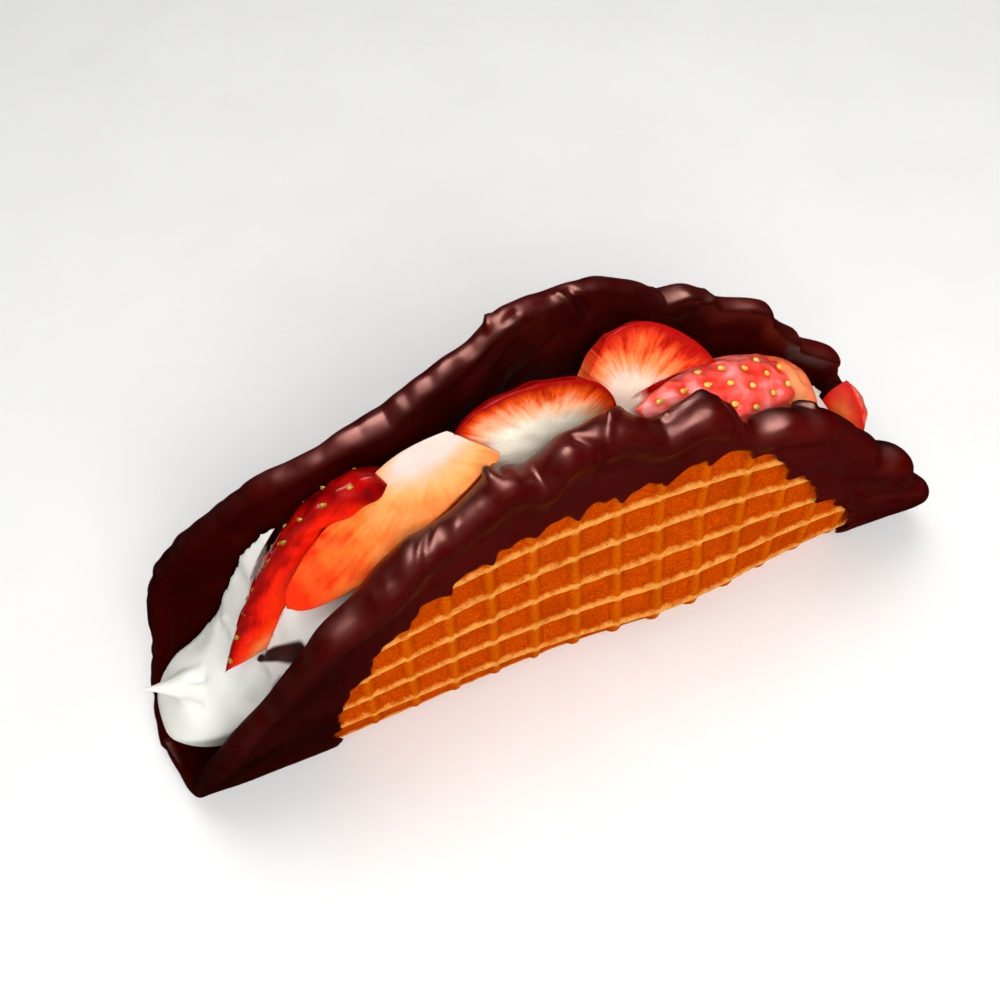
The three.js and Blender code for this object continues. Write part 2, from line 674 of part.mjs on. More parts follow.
function withSeeds(berry, body) {
  if (berry.seeds === null) {
    return body;
  }
  const { matrix, length } = berryFrame(berry);
  const rows = Math.floor(length * 0.85 / SEED_SPACING);
  let solid = body;
  for (let row = 0; row < rows; row += 1) {
    const t = lerp(0.1, 0.93, row / (rows - 1));
    const swell = berryProfile(t, berry.point, berry.shoulder);
    const girth = Math.PI * swell * (berry.width / 2 + berry.depth) / 2;
    const step = SEED_SPACING / girth;
    for (let part = step * (row % 2 ? 0.25 : 0.75); part < 1; part += step) {
      if (part >= berry.seeds[0] && part <= berry.seeds[1]) {
        const seed = new THREE.OctahedronGeometry(SEED_LENGTH, 0);
        seed.scale(0.8, 0.8, 1);
        seed.translate(...skinPoint(berry, length, t, part, 0).toArray());
        seed.applyMatrix4(matrix);
        solid = solid.add(solidOf(seed));
      }
    }
  }
  return solid;
}

const coatSolid = solidOf(chocolateCoat(CLEAR));
const berries = [];
let cream = solidOf(creamBody()).add(solidOf(creamPeak()));
for (const berry of BERRIES) {
  let solid = withSeeds(berry, solidOf(berryBody(berry, 0))).subtract(coatSolid);
  for (const earlier of berries) {
    solid = solid.subtract(earlier.grown);
  }
  const grown = solidOf(berryBody(berry, berry.seeds === null ? CLEAR : SEED_CLEAR));
  berries.push({ name: berry.name, solid: largest(solid), grown });
  cream = cream.subtract(grown);
}

const taco = new THREE.Group();

function addMesh(name, geometry, colour, roughness) {
  const material = new THREE.MeshStandardMaterial({ color: colour, roughness, metalness: 0 });
  const mesh = new THREE.Mesh(geometry, material);
  mesh.name = name;
  taco.add(mesh);
}

addMesh('waffle_shell', waffleShell(), 0xc4620f, 0.75);
addMesh('chocolate_coat', chocolateCoat(0), 0x3a0f0a, 0.3);
addMesh('cream_filling', geometryOf(largest(cream)), 0xf0eee6, 0.5);
for (const { name, solid } of berries) {
  addMesh(name, geometryOf(solid), 0xe0301c, 0.3);
}

// The finished taco stands on the ground with the middle of its box over the origin.
const box = new THREE.Box3().setFromObject(taco);
const centre = box.getCenter(new THREE.Vector3());
taco.position.set(-centre.x, -centre.y, -box.min.z);
const group = new THREE.Group();
group.add(taco);

export default group;
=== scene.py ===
import math
import bpy
import bmesh
import numpy as np
from mathutils import Matrix, Vector


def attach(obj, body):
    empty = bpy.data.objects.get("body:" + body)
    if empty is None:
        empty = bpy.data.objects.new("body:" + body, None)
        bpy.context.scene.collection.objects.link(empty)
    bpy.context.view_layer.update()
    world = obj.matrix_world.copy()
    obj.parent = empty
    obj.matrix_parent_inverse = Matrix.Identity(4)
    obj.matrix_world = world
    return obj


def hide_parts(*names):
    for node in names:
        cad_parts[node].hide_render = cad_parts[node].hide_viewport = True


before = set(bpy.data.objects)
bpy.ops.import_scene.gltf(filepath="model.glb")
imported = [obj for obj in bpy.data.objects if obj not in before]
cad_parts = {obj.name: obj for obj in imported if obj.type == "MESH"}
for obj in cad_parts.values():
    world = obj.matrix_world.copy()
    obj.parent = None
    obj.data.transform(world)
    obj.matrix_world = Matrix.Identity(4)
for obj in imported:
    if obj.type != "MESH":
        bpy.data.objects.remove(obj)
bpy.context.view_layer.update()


# Waffle shell
# A thin baked disc of flour, sugar and butter with a square grid pressed into its outside, folded
# while hot round a narrow flat strip. Laid out flat in mm as u along the fold, v across it and w
# through the thickness; the grid is raised by Geometry Nodes and fold_points folds the result.
MM = 0.001
PART_SHIFT = np.array([-0.0080, 0.9517, 0.0])
STRIP_HALF = 4.4
FOLD_RADIUS = 8.15
LEAN_SPAN = 64.2
FRONT_LEAN = (-0.034, -0.098, 0.304, 0.053)
BACK_LEAN = (-0.033, 0.295, -0.123, -0.711)
RISE_FROM = 36.0
RISE_SPAN = 28.2
LEFT_RISE = 1.8
RIGHT_RISE = 1.1
FLARE = 2.4
FLARE_AT = -24.0
FLARE_WIDTH = 14.0
FLARE_FROM = 56.0
FLARE_TO = 72.0
BELLY = 2.4
BELLY_AT = 20.0
BELLY_WIDTH = 17.0
BELLY_LOW = 5.0
BELLY_HIGH = 34.0
BELLY_ACROSS = 9.0

PITCH = 7.34
GRID_TURN = 0.041
GRID_U = -20.88
GRID_V = -49.07
RIDGE_HEIGHT = 0.9
RIDGE_WIDTH = 2.1
RIDGE_STEPS = 6
FLOOR_STEPS = 9
SHELL_INNER = 2.4
SHELL_INSET = 4.6
# The flat pad under the strip that the taco stands on, from fully flat to fully gridded
PAD_ACROSS = (3.6, 4.4)
PAD_ALONG = (8.0, 9.0)

RIM_RADIUS = 71.2
FRONT_SHORTER = 5.6
FRONT_SKEW = 2.6
BAND = 0.65
BAND_OUTER = -1.1
FLOOR_CLEARANCE = 0.25


def smoothstep(x, low, high):
    part = np.clip((x - low) / (high - low), 0.0, 1.0)
    return part * part * (3.0 - 2.0 * part)


def lerp(a, b, part):
    return a + (b - a) * part


def bell(x, width, centre=0.0):
    """1 at the centre, falling smoothly to 0 on either side of it."""
    return np.exp(-((x - centre) / width) ** 2)


def degrees_of(u, v):
    return np.degrees(np.arctan2(v, u))


def end_rise(u):
    rise = np.where(u < 0, LEFT_RISE, RIGHT_RISE)
    return rise * np.maximum((np.abs(u) - RISE_FROM) / RISE_SPAN, 0.0) ** 2


def end_flare(u, v):
    outwards = smoothstep(np.hypot(u, v), FLARE_FROM, FLARE_TO)
    return FLARE * outwards * bell(degrees_of(u, v), FLARE_WIDTH, FLARE_AT)


def belly(u, y, z):
    low = 1 - smoothstep(z, BELLY_LOW, BELLY_HIGH)
    return BELLY * low * smoothstep(y, 0.0, BELLY_ACROSS) * bell(u, BELLY_WIDTH, BELLY_AT)


def fold_points(u, v, w):
    """Bend points of the flat sheet into the taco, in the part's frame."""
    u, v, w = np.broadcast_arrays(np.asarray(u, float), v, w)
    along = u / LEAN_SPAN
    front = sum(c * along ** n for n, c in enumerate(FRONT_LEAN))
    back = sum(c * along ** n for n, c in enumerate(BACK_LEAN))
    lean = np.where(v < 0, front, back)
    sweep = np.pi / 2 - lean
    run = np.abs(v)
    turned = np.clip((run - STRIP_HALF) / FOLD_RADIUS, 0.0, sweep)
    climb = np.maximum(run - STRIP_HALF - FOLD_RADIUS * sweep, 0.0)
    reach = FOLD_RADIUS - (w - end_flare(u, v))
    y = np.minimum(run, STRIP_HALF) + reach * np.sin(turned) + climb * np.sin(lean)
    z = FOLD_RADIUS - reach * np.cos(turned) + climb * np.cos(lean) + end_rise(u)
    return np.stack([u, np.where(v < 0, -y - belly(u, y, z), y), z], axis=-1) + PART_SHIFT


def rim_base(degrees):
    angle = np.radians(degrees)
    to_front = np.maximum(-np.sin(angle), 0.0)
    return RIM_RADIUS - FRONT_SHORTER * to_front ** 0.8 + FRONT_SKEW * to_front ** 0.5 * np.cos(angle)


def ripples(a, b, size, seed):
    """Smooth uneven waves about -1 to 1 over two coordinates, of roughly the given size."""
    chance = np.random.default_rng(seed)
    total = np.zeros(np.broadcast(a, b).shape)
    for _ in range(14):
        turn = chance.uniform(0.0, np.pi)
        pitch = size * chance.uniform(0.7, 1.6)
        phase = chance.uniform(0.0, 2 * np.pi)
        total += np.sin((a * math.cos(turn) + b * math.sin(turn)) * 2 * np.pi / pitch + phase)
    return total / 4.0


def ripples_round(degrees, size, seed):
    return ripples(degrees, 0.0 * degrees, size, seed)


def ground_level(u, v):
    """The outermost level at which the chocolate is still clear of the ground."""
    turned = np.clip((np.abs(v) - STRIP_HALF) / FOLD_RADIUS, 0.0, np.pi / 2)
    lift = FOLD_RADIUS * (1.0 - np.cos(turned))
    return FLOOR_CLEARANCE - end_rise(u) - lift + end_flare(u, v)


def band_outer_level(u, v):
    """Outside of the chocolate band: it sinks into the waffle near the strip, off the ground."""
    return np.maximum(BAND_OUTER, ground_level(u, v))


def grid_coordinates(u, v):
    """How far a point of the sheet is along and across the turned grid, counted in cells."""
    du = u - GRID_U
    dv = v - GRID_V
    g = du * math.cos(GRID_TURN) + dv * math.sin(GRID_TURN)
    h = dv * math.cos(GRID_TURN) - du * math.sin(GRID_TURN)
    return (g - RIDGE_WIDTH / 2) / PITCH, (h - RIDGE_WIDTH / 2) / PITCH


# The outside chocolate ends on a squared oval that drips a little at each ridge it crosses.
BAND_SQUARENESS = 2.6
BAND_LEFT = 44.0
BAND_RIGHT = 56.0
BAND_ACROSS = 52.0
BUMP_AT = -61.0
BUMP_WIDTH = 8.0
BUMP_HEIGHT = 4.5
CUT_IN_AT = -36.0
CUT_IN_WIDTH = 9.0
CUT_IN = 3.0
ARCH_RISE = 0.9
RIDGE_DRIP = 1.4


def band_radius(degrees):
    angle = np.radians(degrees)
    reach = np.where(np.cos(angle) < 0, BAND_LEFT, BAND_RIGHT)
    along = np.abs(np.cos(angle)) / reach
    across = np.abs(np.sin(angle)) / BAND_ACROSS
    oval = (along ** BAND_SQUARENESS + across ** BAND_SQUARENESS) ** (-1 / BAND_SQUARENESS)
    oval = oval + BUMP_HEIGHT * bell(degrees, BUMP_WIDTH, BUMP_AT)
    oval = oval - CUT_IN * bell(degrees, CUT_IN_WIDTH, CUT_IN_AT)
    g, h = grid_coordinates(oval * np.cos(angle), oval * np.sin(angle))
    on_wall = smoothstep(np.abs(np.sin(angle)), 0.3, 0.75)
    near_g = np.abs((g + 0.5) % 1.0 - 0.5) * 2.0
    near_h = np.abs((h + 0.5) % 1.0 - 0.5) * 2.0
    arches = ARCH_RISE * np.sqrt(near_g) - RIDGE_DRIP * bell(near_g, 0.28)
    steps = bell(near_h, 0.35) - near_h
    ragged = 0.35 * ripples_round(degrees, 3.5, 11)
    return oval + lerp(steps, arches, on_wall) + ragged


def linear(code):
    """An sRGB hex colour as linear RGBA."""
    parts = [int(code[i:i + 2], 16) / 255 for i in (1, 3, 5)]
    return tuple(c / 12.92 if c <= 0.04045 else ((c + 0.055) / 1.055) ** 2.4 for c in parts) + (1.0,)


def add_node(tree, kind, inputs=None, stops=None, **settings):
    """Add a node: inputs maps a socket to a value, a colour code or another socket."""
    node = tree.nodes.new(kind)
    for name, value in settings.items():
        setattr(node, name, value)
    for key, value in (inputs or {}).items():
        if isinstance(value, bpy.types.NodeSocket):
            tree.links.new(value, node.inputs[key])
        elif isinstance(value, str) and value.startswith("#"):
            node.inputs[key].default_value = linear(value)
        else:
            node.inputs[key].default_value = value
    if stops:
        ramp = node.color_ramp
        while len(ramp.elements) < len(stops):
            ramp.elements.new(0.5)
        for element, (place, code) in zip(ramp.elements, stops):
            element.position = place
            element.color = linear(code)
    return node


def calc(tree, operation, *values):
    """A sum over numbers and sockets."""
    return add_node(tree, "ShaderNodeMath", dict(enumerate(values)), operation=operation).outputs[0]


def vector_calc(tree, operation, inputs):
    return add_node(tree, "ShaderNodeVectorMath", inputs, operation=operation).outputs[0]


def attribute(tree, name, output="Fac"):
    return add_node(tree, "ShaderNodeAttribute", attribute_name=name).outputs[output]


def noise(tree, place, size, detail, **more):
    """Clouds of about the given size in mm."""
    return add_node(tree, "ShaderNodeTexNoise", {
        "Vector": place, "Scale": 1 / (size * MM), "Detail": detail, **more}).outputs["Fac"]


def ramp(tree, factor, stops):
    return add_node(tree, "ShaderNodeValToRGB", {"Fac": factor}, stops=stops).outputs["Color"]


def remap(tree, value, low, high, start, end, curve="LINEAR"):
    """The value with low to high turned into start to end."""
    return add_node(tree, "ShaderNodeMapRange", {
        "Value": value, "From Min": low, "From Max": high, "To Min": start, "To Max": end},
        interpolation_type=curve).outputs[0]


def blend(tree, factor, a, b):
    """Colour a turning into colour b."""
    return add_node(tree, "ShaderNodeMix", {
        "Factor": factor, "A": a, "B": b}, data_type="RGBA").outputs["Result"]


def bumped(tree, height, distance, strength):
    """Surface direction over fine relief; the distance is in mm."""
    return add_node(tree, "ShaderNodeBump", {
        "Height": height, "Distance": distance * MM, "Strength": strength}).outputs[0]


def new_material(name):
    material = bpy.data.materials.new(name)
    material.use_nodes = True
    tree = material.node_tree
    tree.nodes.clear()
    return material, tree, add_node(tree, "ShaderNodeTexCoord").outputs["Object"]


def finish_material(material, surface):
    add_node(material.node_tree, "ShaderNodeOutputMaterial", {"Surface": surface.outputs[0]})
    return material


def solid_mesh(name, points, faces, materials=()):
    """A mesh in metres from points in mm, with its faces turned outwards and smooth."""
    mesh = bpy.data.meshes.new(name)
    mesh.from_pydata((np.asarray(points) * MM).tolist(), [], faces)
    for material in materials:
        mesh.materials.append(material)
    shape = bmesh.new()
    shape.from_mesh(mesh)
    if shape.calc_volume(signed=True) < 0:
        mesh.flip_normals()
    shape.free()
    smooth_faces(mesh)
    return mesh


def smooth_faces(mesh):
    mesh.polygons.foreach_set("use_smooth", [True] * len(mesh.polygons))
    mesh.update()


def add_object(name, mesh):
    made = bpy.data.objects.new(name, mesh)
    bpy.context.scene.collection.objects.link(made)
    return made


def evaluated_mesh(carrier):
    """The carrier's mesh with its modifiers applied; the carrier itself goes."""
    graph = bpy.context.evaluated_depsgraph_get()
    graph.update()
    mesh = bpy.data.meshes.new_from_object(carrier.evaluated_get(graph))
    bpy.data.objects.remove(carrier)
    return mesh


def place(piece, node, slot):
    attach(piece, "root")
    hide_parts(node)


def set_points(mesh, points):
    mesh.vertices.foreach_set("co", (np.asarray(points) * MM).ravel())
    mesh.update()


def read_points(mesh):
    flat = np.empty(len(mesh.vertices) * 3)
    mesh.vertices.foreach_get("co", flat)
    return flat.reshape(-1, 3) / MM


def read_normals(mesh):
    flat = np.empty(len(mesh.vertices) * 3)
    mesh.vertices.foreach_get("normal", flat)
    return flat.reshape(-1, 3)


def store(mesh, name, values):
    """Keep one number or one vector for each vertex, for the material to read."""
    values = np.asarray(values, dtype=np.float32)
    kind = "FLOAT" if values.ndim == 1 else "FLOAT_VECTOR"
    field = mesh.attributes.new(name, kind, "POINT")
    field.data.foreach_set("value" if values.ndim == 1 else "vector", values.ravel())


def read_numbers(mesh, name):
    values = np.empty(len(mesh.vertices), dtype=np.float32)
    mesh.attributes[name].data.foreach_get("value", values)
    return values


def baked_waffle():
    """Baked batter: dry and finely pored. Floors are deep golden, rubbed ridges paler, pits brown; painted
    shade darkens the feet of the ridges and painted light brightens the level ridges.
    """
    material, tree, place_in = new_material("baked_waffle_batter")
    crest = attribute(tree, "crest")
    # Toasted patches about 9 mm across, flakes of 1.6 mm, grain of 0.45 mm and pores 0.9 mm apart
    toast = noise(tree, place_in, 9.0, 3.0)
    flakes = noise(tree, place_in, 1.6, 3.0, Roughness=0.6)
    grain = noise(tree, place_in, 0.45, 4.0, Roughness=0.7)
    pores = add_node(tree, "ShaderNodeTexVoronoi", {"Vector": place_in, "Scale": 1 / (0.9 * MM)})
    floor = ramp(tree, grain, ((0.25, "#8a2c00"), (0.42, "#b23c00"), (0.6, "#ca4c00"), (0.8, "#e26c00")))
    toasted = blend(tree, remap(tree, toast, 0.45, 0.75, 0.0, 0.6), floor, "#983200")
    # The foot of each ridge is darker than the middle of a cell: painted shade in the crease where ridge
    # meets floor
    ridge_foot_shade = ramp(tree, crest, ((0.0, "#000000"), (0.1, "#a0a0a0"), (0.35, "#606060"), (0.6, "#000000")))
    foot_shaded = blend(tree, ridge_foot_shade, toasted, "#8a2a00")
    golden = blend(tree, remap(tree, crest, 0.35, 1.0, 0.0, 0.4), foot_shaded, "#cc6a04")
    # Level ridges paler still: partly rubbed crests, partly painted light on their tops, which face up
    # towards the light
    rubbed_and_lit = calc(tree, "ADD", attribute(tree, "level_ridge"), remap(tree, flakes, 0.3, 0.7, -0.4, 0.25))
    ridged = blend(tree, remap(tree, rubbed_and_lit, 0.3, 0.95, 0.0, 0.9), golden, "#e49c46")
    pit = remap(tree, pores.outputs["Distance"], 0.05, 0.25, 0.6, 0.0)
    return finish_material(material, add_node(tree, "ShaderNodeBsdfPrincipled", {
        "Base Color": blend(tree, pit, ridged, "#8c3000"),
        "Normal": bumped(tree, calc(tree, "SUBTRACT", grain, pit), 0.3, 0.7),
        "Roughness": 0.7, "IOR": 1.45, "Specular IOR Level": 0.0}))


def new_group(name, sockets):
    """An empty Geometry Nodes tree and its named inputs; sockets maps a kind to names."""
    tree = bpy.data.node_groups.new(name, "GeometryNodeTree")
    for kind, names in sockets.items():
        for socket in names:
            tree.interface.new_socket(socket, in_out="INPUT", socket_type="NodeSocket" + kind)
    tree.interface.new_socket("Geometry", in_out="OUTPUT", socket_type="NodeSocketGeometry")
    return tree, add_node(tree, "NodeGroupInput").outputs


def finish_group(tree, geometry, material):
    real = add_node(tree, "GeometryNodeRealizeInstances", {0: geometry})
    made = add_node(tree, "GeometryNodeSetMaterial", {"Geometry": real.outputs[0], "Material": material})
    add_node(tree, "NodeGroupOutput", {0: made.outputs[0]})
    return tree


def waffle_grid_tree():
    """Presses the square grid into a flat disc: w is stored as z, and crest is 1 on a ridge top."""
    tree, given = new_group("waffle_grid", {
        "Geometry": ("Disc",), "Vector": ("Grid Start",), "Material": ("Batter",),
        "Float": ("Pitch", "Ridge Height", "Ridge Width", "Grid Turn", "Wobble", "Puff", "Seed")})
    here = add_node(tree, "GeometryNodeInputPosition").outputs[0]
    uneven, bubbles = (add_node(tree, "ShaderNodeTexNoise", {
        "Vector": here, "W": given["Seed"], "Scale": scale, "Detail": detail},
        noise_dimensions="4D").outputs for scale, detail in ((0.35, 2.0), (0.7, 3.0)))
    centred = vector_calc(tree, "SUBTRACT", {0: uneven["Color"], 1: (0.5, 0.5, 0.5)})
    nudge = vector_calc(tree, "SCALE", {0: centred, "Scale": given["Wobble"]})
    moved = vector_calc(tree, "ADD", {0: here, 1: nudge})
    turned = add_node(tree, "ShaderNodeVectorRotate", {
        "Vector": vector_calc(tree, "SUBTRACT", {0: moved, 1: given["Grid Start"]}),
        "Angle": calc(tree, "MULTIPLY", given["Grid Turn"], -1.0)}, rotation_type="Z_AXIS")
    across = add_node(tree, "ShaderNodeSeparateXYZ", {0: turned.outputs[0]})
    half_pitch = calc(tree, "MULTIPLY", given["Pitch"], 0.5)
    half_width = calc(tree, "MULTIPLY", given["Ridge Width"], 0.5)
    reach = calc(tree, "MULTIPLY", half_width, 1.45)
    profiles = []
    for axis in ("X", "Y"):
        centre = calc(tree, "SUBTRACT", across.outputs[axis], half_width)
        off = calc(tree, "PINGPONG", centre, half_pitch)
        profiles.append(remap(tree, off, 0.1, reach, 1.0, 0.0, "SMOOTHSTEP"))
    crest = calc(tree, "SMOOTH_MAX", profiles[0], profiles[1], 0.12)
    kept = given["Disc"]
    for name, value in (("level_ridge", profiles[1]), ("crest", crest)):
        kept = add_node(tree, "GeometryNodeStoreNamedAttribute", {
            "Geometry": kept, "Name": name, "Value": value}, data_type="FLOAT").outputs[0]
    sunk = calc(tree, "SUBTRACT", 1.0, crest)
    puffed = calc(tree, "MULTIPLY", calc(tree, "MULTIPLY", bubbles["Fac"], given["Puff"]), sunk)
    level = calc(tree, "SUBTRACT", calc(tree, "MULTIPLY", sunk, given["Ridge Height"]), puffed)
    pressed = add_node(tree, "GeometryNodeSetPosition", {
        "Geometry": kept, "Offset": add_node(tree, "ShaderNodeCombineXYZ", {"Z": level}).outputs[0]})
    return finish_group(tree, pressed.outputs[0], given["Batter"])


def run_tree(carrier, tree, values):
    """Add a Geometry Nodes modifier, set its inputs by identifier and return the resulting mesh."""
    modifier = carrier.modifiers.new(tree.name, "NODES")
    modifier.node_group = tree
    for item in tree.interface.items_tree:
        if item.in_out == "INPUT" and item.name in values:
            modifier[item.identifier] = values[item.name]
    return evaluated_mesh(carrier)


def flat_disc():
    """The fine outside face of the disc and its outline, on lines that follow the ridges."""
    ridge = np.linspace(0.0, RIDGE_WIDTH, RIDGE_STEPS + 1)[:-1]
    floor = np.linspace(RIDGE_WIDTH, PITCH, FLOOR_STEPS + 1)[:-1]
    cell = np.concatenate([ridge, floor])
    g = (np.arange(-8, 14)[:, None] * PITCH + cell).ravel()
    h = (np.arange(-4, 18)[:, None] * PITCH + cell).ravel()
    gg, hh = np.meshgrid(g, h, indexing="ij")
    u = GRID_U + gg * math.cos(GRID_TURN) - hh * math.sin(GRID_TURN)
    v = GRID_V + gg * math.sin(GRID_TURN) + hh * math.cos(GRID_TURN)
    mid_u = (u[1:, 1:] + u[:-1, :-1]) / 2
    mid_v = (v[1:, 1:] + v[:-1, :-1]) / 2
    inside = np.hypot(mid_u, mid_v) < rim_base(degrees_of(mid_u, mid_v)) - SHELL_INSET - 0.4
    number = np.arange(u.size).reshape(u.shape)
    corners = [number[:-1, :-1], number[1:, :-1], number[1:, 1:], number[:-1, 1:]]
    quads = np.stack([c[inside] for c in corners], axis=-1)
    used, compact = np.unique(quads, return_inverse=True)
    quads = compact.reshape(quads.shape)
    points = np.stack([u.ravel()[used], v.ravel()[used]], axis=-1)
    edges = {}
    for a, b, c, d in quads.tolist():
        for start, end in ((a, b), (b, c), (c, d), (d, a)):
            edges[(start, end)] = True
    following = {start: end for start, end in edges if (end, start) not in edges}
    outline = [next(iter(following))]
    while following[outline[-1]] != outline[0]:
        outline.append(following[outline[-1]])
    return points, quads, outline


def waffle_shell():
    points, quads, outline = flat_disc()
    disc = bpy.data.meshes.new("flat_disc")
    flat = np.column_stack([points, np.zeros(len(points))])
    disc.from_pydata(flat.tolist(), [], quads.tolist())
    batter = baked_waffle()
    pressed = run_tree(add_object("flat_disc", disc), waffle_grid_tree(), {
        "Pitch": PITCH, "Ridge Height": RIDGE_HEIGHT, "Ridge Width": RIDGE_WIDTH,
        "Grid Turn": GRID_TURN, "Wobble": 0.8, "Puff": 0.3,
        "Grid Start": (GRID_U, GRID_V, 0.0), "Seed": 3.0, "Batter": batter})
    u, v, w = read_points(pressed).T * MM
    crest = read_numbers(pressed, "crest")
    level_ridge = read_numbers(pressed, "level_ridge")
    pad = (1 - smoothstep(np.abs(v), *PAD_ACROSS)) * (1 - smoothstep(np.abs(u), *PAD_ALONG))
    w = w * (1 - pad)
    crest = lerp(crest, 0.6, pad)
    level_ridge = lerp(level_ridge, 0.3, pad)
    past_band = np.hypot(u, v) - band_radius(degrees_of(u, v))
    under_band = smoothstep(past_band, -1.4, -0.7)
    covered = np.maximum(w, band_outer_level(u, v) + BAND + 0.4)
    w = lerp(w, covered, under_band)
    top = fold_points(u, v, w)
    shrink = np.concatenate([[1.0], np.linspace(0.985, 0.03, 27)])
    edge_u, edge_v = points[outline].T
    rings = [fold_points(edge_u * s, edge_v * s, SHELL_INNER) for s in shrink]
    count = len(outline)
    base = len(top)
    faces = quads.tolist()
    order = np.arange(count)
    after = (order + 1) % count
    edge = np.array(outline)
    faces += np.stack([edge[after], edge[order], base + order, base + after], axis=-1).tolist()
    for n in range(len(shrink) - 1):
        low = base + n * count
        high = low + count
        faces += np.stack([low + after, low + order, high + order, high + after], axis=-1).tolist()
    last = base + (len(shrink) - 1) * count
    centre = last + count
    faces += np.stack([last + after, last + order, np.full(count, centre)], axis=-1).tolist()
    middle = fold_points(0.0, 0.0, SHELL_INNER).reshape(1, 3)
    points = np.concatenate([top, *rings, middle])
    points[:, 2] = np.maximum(points[:, 2], 0.0)
    mesh = solid_mesh("waffle_shell_baked", points, faces, [batter])
    rest = len(mesh.vertices) - len(crest)
    store(mesh, "crest", np.concatenate([crest, np.full(rest, 0.3)]))
    store(mesh, "level_ridge", np.concatenate([level_ridge, np.full(rest, 0.3)]))
    return add_object("waffle_shell_baked", mesh)


place(waffle_shell(), "waffle_shell", "waffle")


# Chocolate coat
# One dip of dark chocolate: a lining all over the inside, a thick uneven lip over the rim and a thin
# band down the outside. It set as it ran, so its edge is scalloped, creased and swept into streaks.
# Made as rings on the flat disc from the middle of the lining out over the lip and back, then folded.
LINING_OUTER = 3.0
LINING_INNER = 4.0
CAVITY_CLEAR = 0.6
FRONT_ROUND = 2.6
EDGE_ROUND = 1.3
EDGE_THINNER = 1.2
LIP_SWELL = 0.35
COAT_ANGLES = 1080
# Rings at the back of the band and against the shell, which nobody sees and which stay plain
HIDDEN_RINGS = 38
# Angle, width and height of each lobe of the rim, in degrees and mm, from +X towards the back wall
RIM_LOBES = (
    (162, 8, -1.3), (123, 9, 1.2), (107, 3.5, -1.6), (89, 2, 1.3), (85, 8, 1.9), (75, 6, 1.3),
    (67, 4, -1.4), (63, 2, 0.9), (53, 4, 2.0), (40, 3.5, 2.0), (29, 5, -0.8), (-14, 6, 1.8),
    (-33, 4, 1.4), (-37, 2, -1.8), (-50, 5, 1.8), (-61, 4, -2.4), (-69, 4, 1.8), (-75, 3, -1.4),
    (-82, 4.5, 1.9), (-88.5, 3, 1.5), (-93, 2.6, -1.6), (-97.5, 2.6, 1.7), (-111, 3, 1), (-126, 3.5, 1.6),
    (-166, 8, 0.3),
)
# Steps of the rim at the right of the back wall: angle of the drop, length of the lobe, height
RIM_STEPS = ((59.3, 7.0, 1.5), (52.8, 7.0, 1.5), (46.0, 6.0, 1.4), (39.8, 5.4, 1.4), (-22.0, 9.0, 0.9))
# Scallops of the edge, counted from one end round to the other: where each stretch ends
SCALLOP_DEGREES = (-180.0, -150.0, -20.0, 95.0, 180.0)
SCALLOP_COUNTS = (0.0, 7.0, 22.0, 42.0, 64.0)
SCALLOP_DEPTH = 0.32
# A fine comb of creases at the left of the front lip, placed like the strokes below
COMB_AT = -108.5
COMB_WIDTH = 3.0
COMB_RUN = 1.5
COMB_LENGTH = 2.8
COMB_HEIGHT = 0.24
COMB_PITCH = 3.1


def rim_radius(degrees):
    radius = rim_base(degrees)
    for at, width, height in RIM_LOBES:
        radius = radius + height * bell(degrees, width, at)
    for at, length, height in RIM_STEPS:
        part = np.clip((at + length - degrees) / length, 0.0, 1.0)
        radius = radius + height * (part - 0.35) * smoothstep(degrees, at - 0.9, at + 0.5) * (part > 0)
    return radius


def calm_left(degrees):
    """1 where the edge is smooth, at the left end and the left of the front, 0 elsewhere."""
    angle = np.radians(degrees)
    return smoothstep(-np.cos(angle), 0.35, 0.65) * smoothstep(-np.sin(angle), -0.3, 0.2)


def scallops(degrees):
    """Rounded lobes with narrow notches between them."""
    count = np.interp(degrees, SCALLOP_DEGREES, SCALLOP_COUNTS)
    count = count + 0.28 * ripples_round(degrees, 17.0, 24)
    uneven = 1 + 0.9 * ripples_round(degrees, 11.0, 23)
    uneven = uneven * (1 - 0.5 * bell(degrees, 16.0, 112.0))
    at_front = smoothstep(-np.sin(np.radians(degrees)), -0.05, 0.3)
    lobes = np.sqrt(np.sin(np.pi * count) ** 2 + 0.05)
    return SCALLOP_DEPTH * uneven * (1 - 0.85 * at_front) * (lobes - 0.66)


def lip_swell(degrees):
    return LIP_SWELL * (1 + 0.6 * np.sin(degrees * 0.31) + 0.5 * np.sin(degrees * 0.17 + 2))


